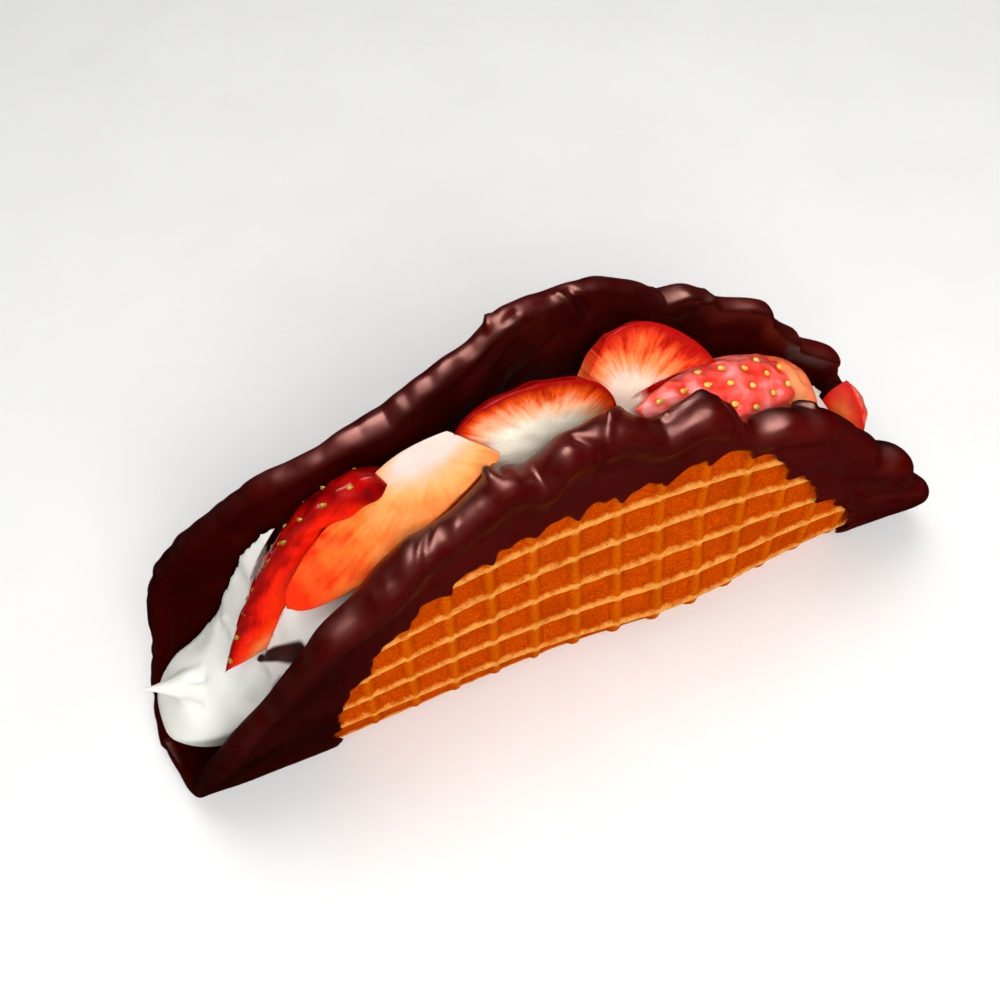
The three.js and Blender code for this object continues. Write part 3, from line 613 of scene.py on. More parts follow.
def coat_rings(degrees, extra, detail):
    """Radius and w of every ring of the coat, from the middle of its inside round to its cavity."""
    cosine = np.cos(np.radians(degrees))
    sine = np.sin(np.radians(degrees))
    front = smoothstep(-sine, -0.25, 0.35) * smoothstep(degrees, -150.0, -108.0)
    lively = detail * (1 - 0.8 * calm_left(degrees))
    worn = 0.05 * ripples_round(degrees, 2.6, 22) + 0.2 * ripples_round(degrees, 8.0, 25)
    ragged = (scallops(degrees) + worn) * lively
    lip = rim_radius(degrees) + extra
    swell = lip_swell(degrees) + 0.1 * ripples_round(degrees, 9.0, 21) * lively
    rounding = lerp(EDGE_ROUND, FRONT_ROUND, front)
    edge = band_radius(degrees) - extra
    cavity = rim_base(degrees) - SHELL_INSET + CAVITY_CLEAR
    start = lip - rounding

    def outside(radius, fall=0.0):
        across = radius * sine
        level = band_outer_level(radius * cosine, across) - extra - fall
        return np.maximum(level, ground_level(radius * cosine, across) - extra)

    rings = []
    inner_end = start - lerp(7.0, 5.0, front)
    lining = LINING_INNER + extra
    high = lining + lerp(-EDGE_THINNER * detail, swell, front)
    for part in np.concatenate([np.linspace(0.03, 0.6, 18), np.linspace(0.62, 1.0, 34)]):
        rings.append((inner_end * part, np.full(degrees.shape, lining)))
    for part in np.linspace(0.1, 0.9, 11):
        rings.append((lerp(inner_end, start, part), lerp(lining, high, smoothstep(part, 0, 1))))
    low = outside(start, swell)
    for turn in np.linspace(90.0, -90.0, 21):
        c = max(math.cos(math.radians(turn)), 0.0) ** lerp(0.72, 0.9, front)
        s = math.copysign(abs(math.sin(math.radians(turn))), turn) * np.ones(degrees.shape)
        rings.append((start + (rounding + ragged) * c, (high + low) / 2 + (high - low) / 2 * s))
    last = edge + 0.7
    outer_end = np.maximum(start - 6.0, lerp(start, last, 0.6))
    for part in np.linspace(0.1, 1.0, 10):
        radius = lerp(start, outer_end, part)
        rings.append((radius, outside(radius, swell * (1 - smoothstep(part, 0, 1)))))
    for part in np.linspace(0.08, 1.0, 14):
        radius = lerp(outer_end, last, part)
        rings.append((radius, outside(radius)))
    inner = outside(edge) + BAND + extra
    rings.append((edge + 0.25, lerp(outside(edge), inner, 0.18)))
    rings.append((edge, lerp(outside(edge), inner, 0.6)))
    for part in np.linspace(0.0, 1.0, 9):
        radius = lerp(edge + 0.4, cavity, part)
        rings.append((radius, outside(radius) + BAND + extra))
    rings.append((cavity, np.full(degrees.shape, LINING_OUTER)))
    for part in np.linspace(0.97, 0.03, 27):
        rings.append((cavity * part, np.full(degrees.shape, LINING_OUTER)))
    return rings


def coat_points(angles, extra, detail):
    degrees = np.linspace(-180.0, 180.0, angles, endpoint=False)
    rings = coat_rings(degrees, extra, detail)
    radius = np.array([r for r, _ in rings])
    w = np.array([level for _, level in rings])
    return radius * np.cos(np.radians(degrees)), radius * np.sin(np.radians(degrees)), w


def from_crest(radius, w):
    """Distance along each section from the outermost point of the lip: positive down the outside."""
    steps = np.hypot(np.diff(radius, axis=0), np.diff(w, axis=0))
    run = np.concatenate([np.zeros((1, radius.shape[1])), np.cumsum(steps, axis=0)])
    return run - np.take_along_axis(run, radius.argmax(axis=0)[None, :], axis=0)


def stroke(degrees, run, start, end, width):
    """1 along a short line drawn on the coat, falling away to its sides; ends are (degrees, run)."""
    scale = math.radians(1.0) * RIM_RADIUS
    ax, ay = start[0] * scale, start[1]
    bx, by = end[0] * scale - ax, end[1] - ay
    px, py = degrees * scale - ax, run - ay
    part = np.clip((px * bx + py * by) / (bx * bx + by * by), 0.0, 1.0)
    away = np.hypot(px - part * bx, py - part * by)
    return bell(away, width)


def coat_relief(u, v, run):
    """How far the set surface swells, creases and streaks out of its plain section, in mm."""
    degrees = degrees_of(u, v)
    slow = 0.2 * ripples(u, v, 15.0, 31) * bell(run, 11.0)
    lumps = 0.1 * ripples(degrees, run * 0.8, 6.0, 32) * bell(run, 4.0)
    lumps = lumps * (1 - 0.8 * calm_left(degrees))
    at_front = smoothstep(-np.sin(np.radians(degrees)), 0.6, 0.85)
    swollen = at_front * (0.8 + 0.35 * ripples_round(degrees, 11.0, 33))
    relief = slow + lumps + swollen * bell(run, 2.6, 3.8)
    for start, end, width, height in STROKES:
        relief = relief + height * stroke(degrees, run, start, end, width)
    comb = bell(degrees, COMB_WIDTH, COMB_AT) * bell(run, COMB_LENGTH, COMB_RUN)
    sway = 1.2 * np.sin(degrees * 1.1 + run)
    teeth = np.sin((degrees * 1.24 + run * 0.7) * 2 * np.pi / COMB_PITCH + sway)
    return relief + COMB_HEIGHT * comb * teeth


# Ridges and creases left by the dipping, as lines from one (degrees, mm past the crest) to another,
# with their half width and height in mm; past the crest is down the outside, before it the inside
STROKES = (
    ((-98.6, -4.5), (-98.2, -2.2), 0.6, 0.8), ((-98.3, -1.4), (-98.3, -0.4), 0.8, 0.8),
    ((-97.0, -3.5), (-96.8, 0.0), 0.9, -0.6),
    ((-87.3, 0.4), (-85.0, 3.3), 0.8, -0.7), ((-85.0, 3.3), (-84.3, 9.0), 0.9, -0.4),
    ((-88.5, 2.5), (-87.0, 7.0), 1.6, 0.4), ((-92.5, -1.0), (-89.0, 1.5), 1.8, 0.4),
    ((-80.0, -2.8), (-82.3, -0.5), 0.7, 0.7), ((-82.3, -0.5), (-84.0, 2.4), 0.7, 0.6),
    ((-77.5, -1.8), (-73.0, -2.8), 0.9, -0.8), ((-78.5, 0.2), (-74.0, -0.8), 0.6, 0.5),
    ((-74.0, -0.8), (-69.0, -2.2), 0.7, 0.5), ((-69.5, -2.6), (-67.5, -1.6), 1.1, 0.5),
    ((-66.0, -0.5), (-65.6, 3.2), 0.7, 0.5), ((-64.4, -0.8), (-64.2, 2.6), 0.6, -0.7),
    ((-53.5, -3.4), (-52.4, -1.6), 0.5, 1.0), ((-26.5, 9.5), (-23.0, 1.0), 0.9, -0.5),
    ((90.7, 0.2), (90.3, 1.4), 0.6, 0.9), ((89.0, -1.0), (87.6, -0.6), 0.8, -0.4),
    ((81.6, -0.4), (79.6, -4.8), 0.6, 0.6), ((80.0, -0.3), (77.8, -5.2), 0.7, -0.7),
    ((97.5, -8.0), (88.0, -3.4), 0.9, 0.45), ((94.0, -11.0), (84.5, -4.0), 1.0, 0.4),
    ((99.0, -5.2), (91.0, -2.8), 0.7, -0.35), ((90.0, -12.0), (82.5, -7.5), 0.9, -0.4),
    ((63.3, -6.6), (59.8, -0.8), 0.8, 0.4), ((66.0, -7.5), (61.5, -3.0), 0.7, -0.35),
    ((49.5, -7.5), (48.0, -4.6), 2.2, 0.45), ((103.0, -4.5), (101.8, -3.4), 0.7, 0.4),
    ((109.0, -6.0), (107.5, -4.8), 0.8, 0.4), ((75.0, -9.0), (68.0, -6.0), 1.1, 0.3),
    ((-96.0, 1.8), (-90.5, 2.4), 2.8, 0.6), ((-83.0, 3.4), (-78.0, 3.8), 2.8, 0.55),
    ((-73.0, 3.4), (-68.0, 3.2), 2.6, 0.5), ((-104.5, 2.2), (-101.5, 2.2), 2.2, 0.5),
    ((-117.5, 1.6), (-116.0, 2.0), 1.8, 0.5), ((112.0, 0.6), (104.0, 0.4), 1.2, 0.3),
    ((101.0, 0.4), (93.0, 0.4), 1.3, 0.35), ((88.5, 0.4), (84.0, 0.2), 1.2, 0.35),
)


def ring_faces(rings, count):
    """Quads between closed rings of points, and a fan to a point at either end."""
    order = np.arange(count)
    after = (order + 1) % count
    faces = np.stack([np.zeros(count, int), 1 + after, 1 + order], axis=-1).tolist()
    for n in range(rings - 1):
        low = 1 + n * count
        high = low + count
        faces += np.stack([low + order, low + after, high + after, high + order], axis=-1).tolist()
    low = 1 + (rings - 1) * count
    faces += np.stack([low + order, low + after, np.full(count, low + count)], axis=-1).tolist()
    return faces


def dark_chocolate():
    """Dark chocolate set on the shell: deep red-brown, thin over the waffle and near black inside, where
    thicker chocolate and painted shade both darken it.
    """
    material, tree, place_in = new_material("dark_chocolate_set")
    # Cloudy tone 12 mm across, satin waves 3 mm and fine specks 0.5 mm
    cloud = noise(tree, place_in, 12.0, 4.0, Distortion=0.6)
    waves = noise(tree, place_in, 3.0, 3.0)
    specks = noise(tree, place_in, 0.5, 2.0)
    # Redder where thin over the waffle; the darker colour is the thick lining and also painted shade inside
    # and towards the left end
    thin = ramp(tree, cloud, ((0.25, "#3c0100"), (0.5, "#460100"), (0.75, "#500201")))
    thick_and_shaded = ramp(tree, cloud, ((0.25, "#180201"), (0.5, "#260301"), (0.75, "#360502")))
    body = {"Base Color": blend(tree, attribute(tree, "inside"), thin, thick_and_shaded),
            "Normal": bumped(tree, calc(tree, "MULTIPLY_ADD", specks, 0.05, waves), 0.08, 0.12)}
    # The lip and the outside keep their gloss, the lining dries matt
    lip = add_node(tree, "ShaderNodeBsdfPrincipled", {
        **body, "Roughness": remap(tree, waves, 0.3, 0.7, 0.26, 0.5),
        "IOR": 1.5, "Specular IOR Level": 1.0, "Specular Tint": (1.0, 0.5, 0.42, 1.0)})
    lining = add_node(tree, "ShaderNodeBsdfPrincipled", {
        **body, "Roughness": 0.5, "IOR": 1.3, "Specular IOR Level": 0.0})
    return finish_material(material, add_node(tree, "ShaderNodeMixShader", {
        0: attribute(tree, "matt"), 1: lip.outputs[0], 2: lining.outputs[0]}))


def coat_mesh(name, angles, extra, detail, start_level, materials=()):
    """The coat folded and closed with a point at either end, and its ring points laid flat."""
    u, v, w = coat_points(angles, extra, detail)
    start, end = (fold_points(0.0, 0.0, level).reshape(1, 3) for level in (start_level, LINING_OUTER))
    points = np.concatenate([start, fold_points(u, v, w).reshape(-1, 3), end])
    return solid_mesh(name, points, ring_faces(*w.shape), materials), points, (u, v, w)


def chocolate_coat():
    mesh, points, flat = coat_mesh(
        "chocolate_coat_set", COAT_ANGLES, 0.0, 1.0, LINING_INNER, [dark_chocolate()])
    u, v, w = flat
    run = from_crest(np.hypot(u, v), w)
    shown = np.ones(len(w))
    shown[-HIDDEN_RINGS:] = 0.0
    relief = np.concatenate([[0.0], (coat_relief(u, v, run) * shown[:, None]).ravel(), [0.0]])
    moved = points + read_normals(mesh) * relief[:, None]
    moved[:, 2] = np.maximum(moved[:, 2], 0.1)
    set_points(mesh, moved)
    # Darker inside where the lining is thick, with painted shade inside as well
    middle = (LINING_INNER + BAND_OUTER) / 2
    thick_and_shaded = smoothstep(w, middle - 1.0, middle + 2.2)
    # Painted shade: the coat darkens towards the left end
    thick_and_shaded = np.maximum(thick_and_shaded, 0.8 * smoothstep(-u, 20.0, 56.0))
    store(mesh, "inside", np.concatenate([[1.0], thick_and_shaded.ravel(), [1.0]]))
    degrees = degrees_of(u, v)
    left = np.maximum(calm_left(degrees), smoothstep(degrees, 100.0, 128.0))
    matt = 1 - smoothstep(run, lerp(-6.0, -2.6, left), lerp(-2.5, 0.4, left))
    matt = matt * (1 - 0.6 * bell(degrees, 18.0, 84.0))
    store(mesh, "matt", np.concatenate([[1.0], matt.ravel(), [1.0]]))
    return add_object("chocolate_coat_set", mesh)


place(chocolate_coat(), "chocolate_coat", "chocolate")


# Cut strawberries
# Fresh strawberries cut lengthwise, pushed into the cream: a wet glossy skin with yellow seeds in
# dimples, and a cut face that runs from red at the skin through orange to a pale core with rays.
# Each is given by its tip and wide end, the way its cut face looks, its width and its depth.
CLEAR = 0.35
SEED_CLEAR = 0.95
WIDEST = 0.7
WHOLE_FROM = 0.6
WHOLE_AT = 0.98
SEED_SPACING = 4.0
SKIN_STEPS = 72
FACE_STEPS = 30
BERRY_RINGS = 90
# Colours run from the edge of the cut inwards; pale is the middle (mm across and part along) and the
# size in mm of the pale core; rims says how red either edge is, ripe how deep in mm the colours reach
# and tip_red how slowly they fade from the tip; skin is dark, plain and light
BERRIES = (
    {"node": "strawberry_half_middle", "tip": (-12.0, -2.1, 57.6), "top": (11.8, -4.6, 47.2),
     "face": (0.04, -0.96, 0.27), "width": 19.5, "depth": 7.0, "point": 0.52, "shoulder": 0.96,
     "seeds": None, "flesh": ("#a00402", "#f05410", "#ffb888", "#fff2dc"),
     "pale": (3.5, 0.6, 9.0, 12.0), "rims": (1.0, 0.7), "ripe": 9.0, "rays": 0.5,
     "skin": ("#7a0404", "#b80805", "#e01c10")},
    # The light skin colour of this half is a painted sheen between the seeds
    {"node": "strawberry_half_right", "tip": (16.7, -2.0, 48.6), "top": (45.5, -2.0, 34.0),
     "face": (0.17, 0.55, -0.82), "width": 17.0, "depth": 7.0, "point": 0.8, "shoulder": 0.55,
     "seeds": (0.12, 0.88), "flesh": ("#ff3c20", "#ff5c34", "#ff7a48", "#ff9860"),
     "pale": (0.0, 0.6, 8.0, 12.0), "rims": (0.3, 0.3), "ripe": 8.0, "rays": 0.3,
     "seed": (1.5, 1.0), "lumps": 0.3, "seeds_to": 0.84, "spacing": 3.3, "dimple": "#e0200a",
     "skin": ("#f03424", "#fb6054", "#ffa8a4")},
    {"node": "strawberry_slice_left", "tip": (-41.8, -7.0, 41.1), "top": (-7.2, -3.8, 59.7),
     "face": (-0.17, -0.55, 0.82), "width": 12.0, "depth": 4.5, "point": 0.45, "shoulder": 0.8,
     "seeds": (0.02, 0.2), "flesh": ("#e82c04", "#f47428", "#f3a860", "#e6cdc2"),
     "pale": (-4.8, 0.78, 3.6, 9.0), "rims": (0.0, 0.2), "ripe": 8.0, "tip_red": 0.2, "rays": 0.2,
     "slant": 0.5, "seed": (1.2, 0.75), "husk": "dull", "skin": ("#a00603", "#d81008", "#f03418")},
    {"node": "strawberry_half_back", "tip": (31.5, -2.0, 41.6), "top": (11.3, 2.0, 56.0),
     "face": (0.04, -0.95, 0.32), "width": 19.5, "depth": 6.0, "point": 0.42, "shoulder": 0.85,
     "seeds": None, "flesh": ("#b80603", "#f04018", "#fd9450", "#ffe2cc"),
     "pale": (-5.5, 0.62, 7.5, 12.0), "rims": (0.3, 1.0), "ripe": 11.0, "rays": 0.6,
     "skin": ("#8c0404", "#cc0c06", "#f03020")},
    {"node": "strawberry_half_left", "tip": (-54.7, -4.0, 25.8), "top": (-22.3, -2.0, 53.6),
     "face": (-0.14, -0.96, 0.24), "width": 14.5, "depth": 9.0, "point": 0.9, "shoulder": 0.93,
     "seeds": (0.6, 1.0), "front": 1.8, "edge_seeds": 6, "husk": "dull",
     "flesh": ("#8c0200", "#e81400", "#fa3a04", "#fb8c50"),
     "pale": (3.5, 0.1, 4.0, 6.0), "rims": (1.0, 0.0), "ripe": 8.0, "rays": 0.25,
     "seed": (1.1, 0.65), "skin": ("#640204", "#9c0403", "#c80c06")},
    {"node": "strawberry_piece_right", "tip": (54.8, -3.4, 37.0), "top": (56.6, -3.0, 20.0),
     "face": (-0.8, -0.45, 0.4), "width": 8.5, "depth": 5.0, "point": 1.0, "shoulder": 0.9,
     "seeds": (0.1, 0.6), "flesh": ("#ff1c08", "#ff3c14", "#ff5c24", "#ff8440"),
     "pale": (0.0, 0.6, 4.0, 6.0), "rims": (1.0, 1.0), "ripe": 8.0, "rays": 0.3,
     "seed": (1.0, 0.7), "dimple": "#f03018", "skin": ("#ff3820", "#ff5c40", "#ff9078")},
)


def berry_profile(t, point, shoulder):
    tip_side = np.sin(np.pi / 2 * np.clip(t / WIDEST, 0.0, 1.0)) ** point
    past = np.clip((t - WIDEST) / (1 - WIDEST), 0.0, 1.0)
    return np.where(t < WIDEST, tip_side, np.sqrt(1 - (shoulder * past) ** 2))


def berry_axes(berry):
    origin = np.array(berry["tip"]) + PART_SHIFT
    along = np.array(berry["top"]) - np.array(berry["tip"])
    length = np.linalg.norm(along)
    along = along / length
    behind = -np.array(berry["face"])
    behind = behind - along * behind.dot(along)
    behind = behind / np.linalg.norm(behind)
    across = np.cross(behind, along)
    return origin, np.stack([across, behind, along]), length


def whole_wrap(berry, t):
    """How far the skin comes round in front of the cut: nothing, but a whole berry at the wide end."""
    most = 0.8 * np.pi / 2 if "front" in berry else 0.0
    return most * smoothstep(t, WHOLE_FROM, WHOLE_AT)


def skin_point(berry, length, t, part, grow):
    """A point of the skin: t runs from tip to wide end, part from one edge of the cut to the other."""
    t = np.asarray(t, float)
    swell = berry_profile(t, berry["point"], berry["shoulder"])
    wrap = whole_wrap(berry, t)
    turn = lerp(-wrap, np.pi + wrap, part)
    reach = np.where(np.sin(turn) < 0, berry.get("front", 0.0), berry["depth"])
    x = (swell * berry["width"] / 2 + grow) * np.cos(turn)
    y = (swell * reach + grow) * np.sin(turn)
    slant = berry.get("slant", 0.0) * (x - berry["width"] / 2) * smoothstep(t, 0.4, 1.0)
    z = lerp(-grow, length + grow, t) + slant
    return np.stack(np.broadcast_arrays(x, y, z), axis=-1)


def seed_places(berry, length):
    """Staggered rows of seeds: part of the way along the berry and part of the way round its skin."""
    places = []
    spacing = berry.get("spacing", SEED_SPACING)
    rows = int(length * 0.85 / spacing)
    for row in range(rows):
        t = lerp(0.1, 0.93, row / (rows - 1))
        swell = float(berry_profile(np.array(t), berry["point"], berry["shoulder"]))
        step = spacing / (math.pi * swell * (berry["width"] / 2 + berry["depth"]) / 2)
        part = step * (0.25 if row % 2 else 0.75)
        while part < 1:
            places.append((t, part))
            part += step
    return places + [(t, 0.975) for t in np.linspace(0.05, 0.6, berry.get("edge_seeds", 0))]


def berry_points(berry, length, rings, skin_steps, face_steps, grow):
    """Rings of a half berry in its own axes: round the skin, then back across the cut face."""
    even = np.linspace(0.0, 1.0, rings)
    t = 0.004 + 0.996 * (even - 0.35 * np.sin(2 * np.pi * even) / (2 * np.pi))
    part = np.linspace(0.0, 1.0, skin_steps + 1)
    skin = skin_point(berry, length, t[:, None], part[None, :], grow)
    across = np.linspace(0.0, 1.0, face_steps + 1)[None, :, None]
    cut = skin[:, -1:, :] * (1 - across) + skin[:, :1, :] * across
    if grow > 0:
        cut[:, :, 1] -= grow
    else:
        cut = cut[:, 1:-1]
    return np.concatenate([skin, cut], axis=1)


def berry_solid(name, berry, grow, rings, skin_steps, face_steps):
    origin, axes, length = berry_axes(berry)
    local = berry_points(berry, length, rings, skin_steps, face_steps, grow)
    tip = np.array([[0.0, -grow, -grow - 0.4]])
    slant = berry.get("slant", 0.0) * berry["width"] / 2
    end = np.array([[0.0, berry["depth"] * 0.3, length + grow - slant]])
    cap = [end + (local[-1] - end) * shrink for shrink in (0.85, 0.7, 0.55, 0.4, 0.2)]
    every = np.concatenate([tip, local.reshape(-1, 3), *cap, end])
    faces = ring_faces(local.shape[0] + len(cap), local.shape[1])
    return solid_mesh(name, every @ axes + origin, faces)


def cut_away(piece, cutters):
    """Subtract closed cutters from a piece and keep its largest part."""
    for cutter in cutters:
        modifier = piece.modifiers.new("cut", "BOOLEAN")
        modifier.operation = "DIFFERENCE"
        modifier.solver = "MANIFOLD"
        modifier.object = cutter
    name = piece.name
    mesh = evaluated_mesh(piece)
    shape = bmesh.new()
    shape.from_mesh(mesh)
    left = set(shape.faces)
    islands = []
    while left:
        island = set()
        front = [next(iter(left))]
        while front:
            face = front.pop()
            if face in left:
                left.remove(face)
                island.add(face)
                front += [near for edge in face.edges for near in edge.link_faces if near in left]
        islands.append(island)
    islands.sort(key=len)
    for island in islands[:-1]:
        bmesh.ops.delete(shape, geom=list(island), context="FACES")
    shape.to_mesh(mesh)
    shape.free()
    return add_object(name, mesh)


def seed_tree():
    """Strews teardrop seeds on points: each lies along the berry, sunk in its dimple."""
    tree, given = new_group("strawberry_seeds", {
        "Geometry": ("Places",), "Float": ("Seed Length", "Seed Width", "Seed Thickness"),
        "Int": ("Seed",), "Material": ("Husk",)})
    ball = add_node(tree, "GeometryNodeMeshIcoSphere", {"Radius": 0.5, "Subdivisions": 3})
    here = add_node(tree, "GeometryNodeInputPosition").outputs[0]
    parts = add_node(tree, "ShaderNodeSeparateXYZ", {0: here})
    taper = calc(tree, "MULTIPLY_ADD", parts.outputs["Z"], -0.7, 0.9)
    sizes = add_node(tree, "ShaderNodeCombineXYZ", {
        "X": calc(tree, "MULTIPLY", given["Seed Thickness"], taper),
        "Y": calc(tree, "MULTIPLY", given["Seed Width"], taper), "Z": given["Seed Length"]})
    seed = add_node(tree, "GeometryNodeSetPosition", {
        "Geometry": ball.outputs["Mesh"],
        "Position": vector_calc(tree, "MULTIPLY", {0: here, 1: sizes.outputs[0]})})
    rounded = add_node(tree, "GeometryNodeSetShadeSmooth", {"Geometry": seed.outputs[0]})
    outward, along = (add_node(tree, "GeometryNodeInputNamedAttribute", {
        "Name": name}, data_type="FLOAT_VECTOR").outputs["Attribute"] for name in ("outward", "along"))
    aim = add_node(tree, "FunctionNodeAxesToRotation", {
        "Primary Axis": outward, "Secondary Axis": along}, primary_axis="X", secondary_axis="Z")
    size = add_node(tree, "FunctionNodeRandomValue", {
        2: 0.85, 3: 1.15, "Seed": given["Seed"]}, data_type="FLOAT")
    strewn = add_node(tree, "GeometryNodeInstanceOnPoints", {
        "Points": given["Places"], "Instance": rounded.outputs[0],
        "Rotation": aim.outputs[0], "Scale": size.outputs[1]})
    return finish_group(tree, strewn.outputs[0], given["Husk"])


def seed_husk(name, stops):
    """Strawberry seeds: small dry achenes, straw yellow or olive, under a film of juice."""
    material, tree, place_in = new_material(name)
    mottle = noise(tree, place_in, 1.6, 2.0)
    return finish_material(material, add_node(tree, "ShaderNodeBsdfPrincipled", {
        "Base Color": ramp(tree, mottle, stops), "Normal": bumped(tree, mottle, 0.05, 0.5),
        "Roughness": 0.3, "IOR": 1.45, "Coat Weight": 0.4, "Coat Roughness": 0.1}))


def strawberry(berry):
    """Fresh strawberry: glossy red skin, wet cut flesh with fibres that run from the core to the skin."""
    material, tree, place_in = new_material("fresh_" + berry["node"])
    skin, inward, pale, dimple = (attribute(tree, name) for name in ("skin", "inward", "pale", "dimple"))
    # Rays fan out from the core and are stored as turn and distance; cells of the flesh are 0.5 mm
    rays = add_node(tree, "ShaderNodeTexNoise", {
        "Vector": attribute(tree, "rays", "Vector"),
        "Scale": 1.0, "Detail": 4.0, "Roughness": 0.65}).outputs["Fac"]
    cells = noise(tree, place_in, 0.5, 2.0)
    cloud = noise(tree, place_in, 4.0, 3.0)
    ray_shift = calc(tree, "MULTIPLY_ADD", rays, berry["rays"], -berry["rays"] / 2)
    shift = calc(tree, "ADD", ray_shift, calc(tree, "MULTIPLY_ADD", cloud, 0.3, -0.15))
    # The red rim is steady, the rays reach further the further they are from it
    swing = calc(tree, "MULTIPLY", shift, remap(tree, inward, 0.05, 0.3, 0.15, 1.0))
    depth = calc(tree, "ADD", calc(tree, "MULTIPLY", inward, pale), swing)
    flesh = ramp(tree, depth, list(zip((0.02, 0.11, 0.28, 0.58), berry["flesh"])))
    # Cloudy skin tone in the skin colours; on the right half the lightest of them is a painted sheen
    skin_tone_and_sheen = ramp(tree, cloud, list(zip((0.3, 0.5, 0.7), berry["skin"])))
    pocket = blend(tree, dimple, skin_tone_and_sheen, berry.get("dimple", "#b80804"))
    fibres = calc(tree, "MULTIPLY_ADD", rays, 0.9, cells)
    height = calc(tree, "MULTIPLY", fibres, remap(tree, skin, 0.0, 1.0, 1.0, 0.3))
    return finish_material(material, add_node(tree, "ShaderNodeBsdfPrincipled", {
        "Base Color": blend(tree, skin, flesh, pocket), "Normal": bumped(tree, height, 0.14, 0.6),
        "Roughness": remap(tree, skin, 0.0, 1.0, 0.4, 0.22), "IOR": 1.42, "Specular IOR Level": 0.25,
        "Coat Weight": 0.22, "Coat Roughness": 0.08, "Coat IOR": 1.4, "Subsurface Weight": 0.1,
        "Subsurface Radius": (0.002, 0.0007, 0.0004), "Subsurface Scale": 1.0}))


def dimple_depth(berry, length, local):
    """1 in the middle of a seed's dimple, falling to 0 round it."""
    depth = np.zeros(len(local))
    for t, part in seed_places(berry, length):
        centre = skin_point(berry, length, t, part, 0.0)
        away = np.linalg.norm(local - centre, axis=1)
        depth = np.maximum(depth, bell(away, 1.1))
    return depth


def skin_depth(berry, length, local):
    """How far behind the cut face a point lies, and how much it belongs to the whole wide end."""
    t = np.clip(local[:, 2] / length, 0.0, 1.0)
    swell = berry_profile(t, berry["point"], berry["shoulder"])
    wrap = whole_wrap(berry, t)
    return local[:, 1] + berry.get("front", 0.0) * swell * np.sin(wrap), smoothstep(wrap, 0.95, 1.2)


def half_berry(berry, cutters, seeds_tree, husk):
    origin, axes, length = berry_axes(berry)
    mesh = berry_solid(berry["node"] + "_fresh", berry, 0.0, BERRY_RINGS, SKIN_STEPS, FACE_STEPS)
    mesh.materials.append(strawberry(berry))
    local = (read_points(mesh) - origin) @ axes.T
    behind, whole = skin_depth(berry, length, local)
    on_skin = np.maximum(smoothstep(behind, 0.1, 0.9), whole)
    lumps = berry.get("lumps", 0.14)
    bulge = lumps * ripples(local[:, 0] + local[:, 1], local[:, 2], 4.2, 41) * on_skin
    dent = 0.7 * dimple_depth(berry, length, local) * on_skin
    outward = local * np.array([1.0, 1.0, 0.0]) - np.array([0.0, berry["depth"] * 0.2, 0.0])
    outward /= np.maximum(np.linalg.norm(outward, axis=1, keepdims=True), 0.5)
    local = local + outward * (bulge - dent)[:, None]
    on_cut = 1 - np.maximum(smoothstep(behind, 0.0, 0.3), whole)
    local[:, 1] += on_cut * 0.12 * (ripples(local[:, 0], local[:, 2] * 0.5, 2.5, 42) + 1.0)
    set_points(mesh, local @ axes + origin)
    piece = cut_away(add_object(berry["node"] + "_fresh", mesh), cutters)
    mesh = piece.data
    local = (read_points(mesh) - origin) @ axes.T
    behind, whole = skin_depth(berry, length, local)
    t = np.clip(local[:, 2] / length, 0.0, 1.0)
    half = berry_profile(t, berry["point"], berry["shoulder"]) * berry["width"] / 2
    spare_left, spare_right = (3.5 * (1 - rim) for rim in berry["rims"])
    inward = np.minimum(half + local[:, 0] + spare_left, half - local[:, 0] + spare_right)
    inward = np.minimum(inward, length - local[:, 2] + 0.4 + spare_left)
    inward = np.minimum(inward, local[:, 2] * berry.get("tip_red", 1.0))
    middle_x, middle_t, size_x, size_z = berry["pale"]
    away = np.hypot((local[:, 0] - middle_x) / size_x, (local[:, 2] - middle_t * length) / size_z)
    last_seeds = length * berry.get("seeds_to", 1.0)
    end_cut = smoothstep(local[:, 2], last_seeds - 0.6, last_seeds - 0.1)
    skin = np.maximum(smoothstep(behind, 0.35, 0.8), whole) * (1 - end_cut)
    store(mesh, "skin", skin)
    store(mesh, "inward", np.clip(inward / berry["ripe"], 0.0, 1.0))
    store(mesh, "pale", 0.3 + 0.9 * np.exp(-away ** 2))
    store(mesh, "dimple", dimple_depth(berry, length, local))
    off = local - np.array([middle_x * 0.5, 0.0, length * middle_t])
    reach = np.hypot(off[:, 0], off[:, 2] * 0.6)
    round_core = 11.0 / np.maximum(reach, 0.3)
    store(mesh, "rays", np.stack([
        off[:, 0] * round_core, off[:, 2] * 0.6 * round_core, reach * 0.22], axis=-1))
    smooth_faces(mesh)
    add_seeds(piece, berry, seeds_tree, husk)
    return piece


def add_seeds(piece, berry, seeds_tree, husk):
    if berry["seeds"] is None:
        return
    origin, axes, length = berry_axes(berry)
    first, last = berry["seeds"]
    spots = []
    outs = []
    ways = []
    for t, part in seed_places(berry, length):
        if first <= part <= last and t < berry.get("seeds_to", 1.0):
            at = skin_point(berry, length, t, part, -0.3)
            out = skin_point(berry, length, t, part, 0.5) - at
            ahead = skin_point(berry, length, t + 0.02, part, -0.3) - at
            spots.append(at @ axes + origin)
            outs.append(out @ axes / np.linalg.norm(out))
            ways.append(ahead @ axes / np.linalg.norm(ahead))
    dots = bpy.data.meshes.new("seed_places")
    dots.from_pydata((np.array(spots) * MM).tolist(), [], [])
    store(dots, "outward", np.array(outs))
    store(dots, "along", np.array(ways))
    seed_length, seed_width = berry["seed"]
    seeds = run_tree(add_object("seed_places", dots), seeds_tree, {
        "Seed Length": seed_length * MM, "Seed Width": seed_width * MM,
        "Seed Thickness": 0.8 * MM, "Seed": 5, "Husk": husk})
    join_meshes(piece, seeds)


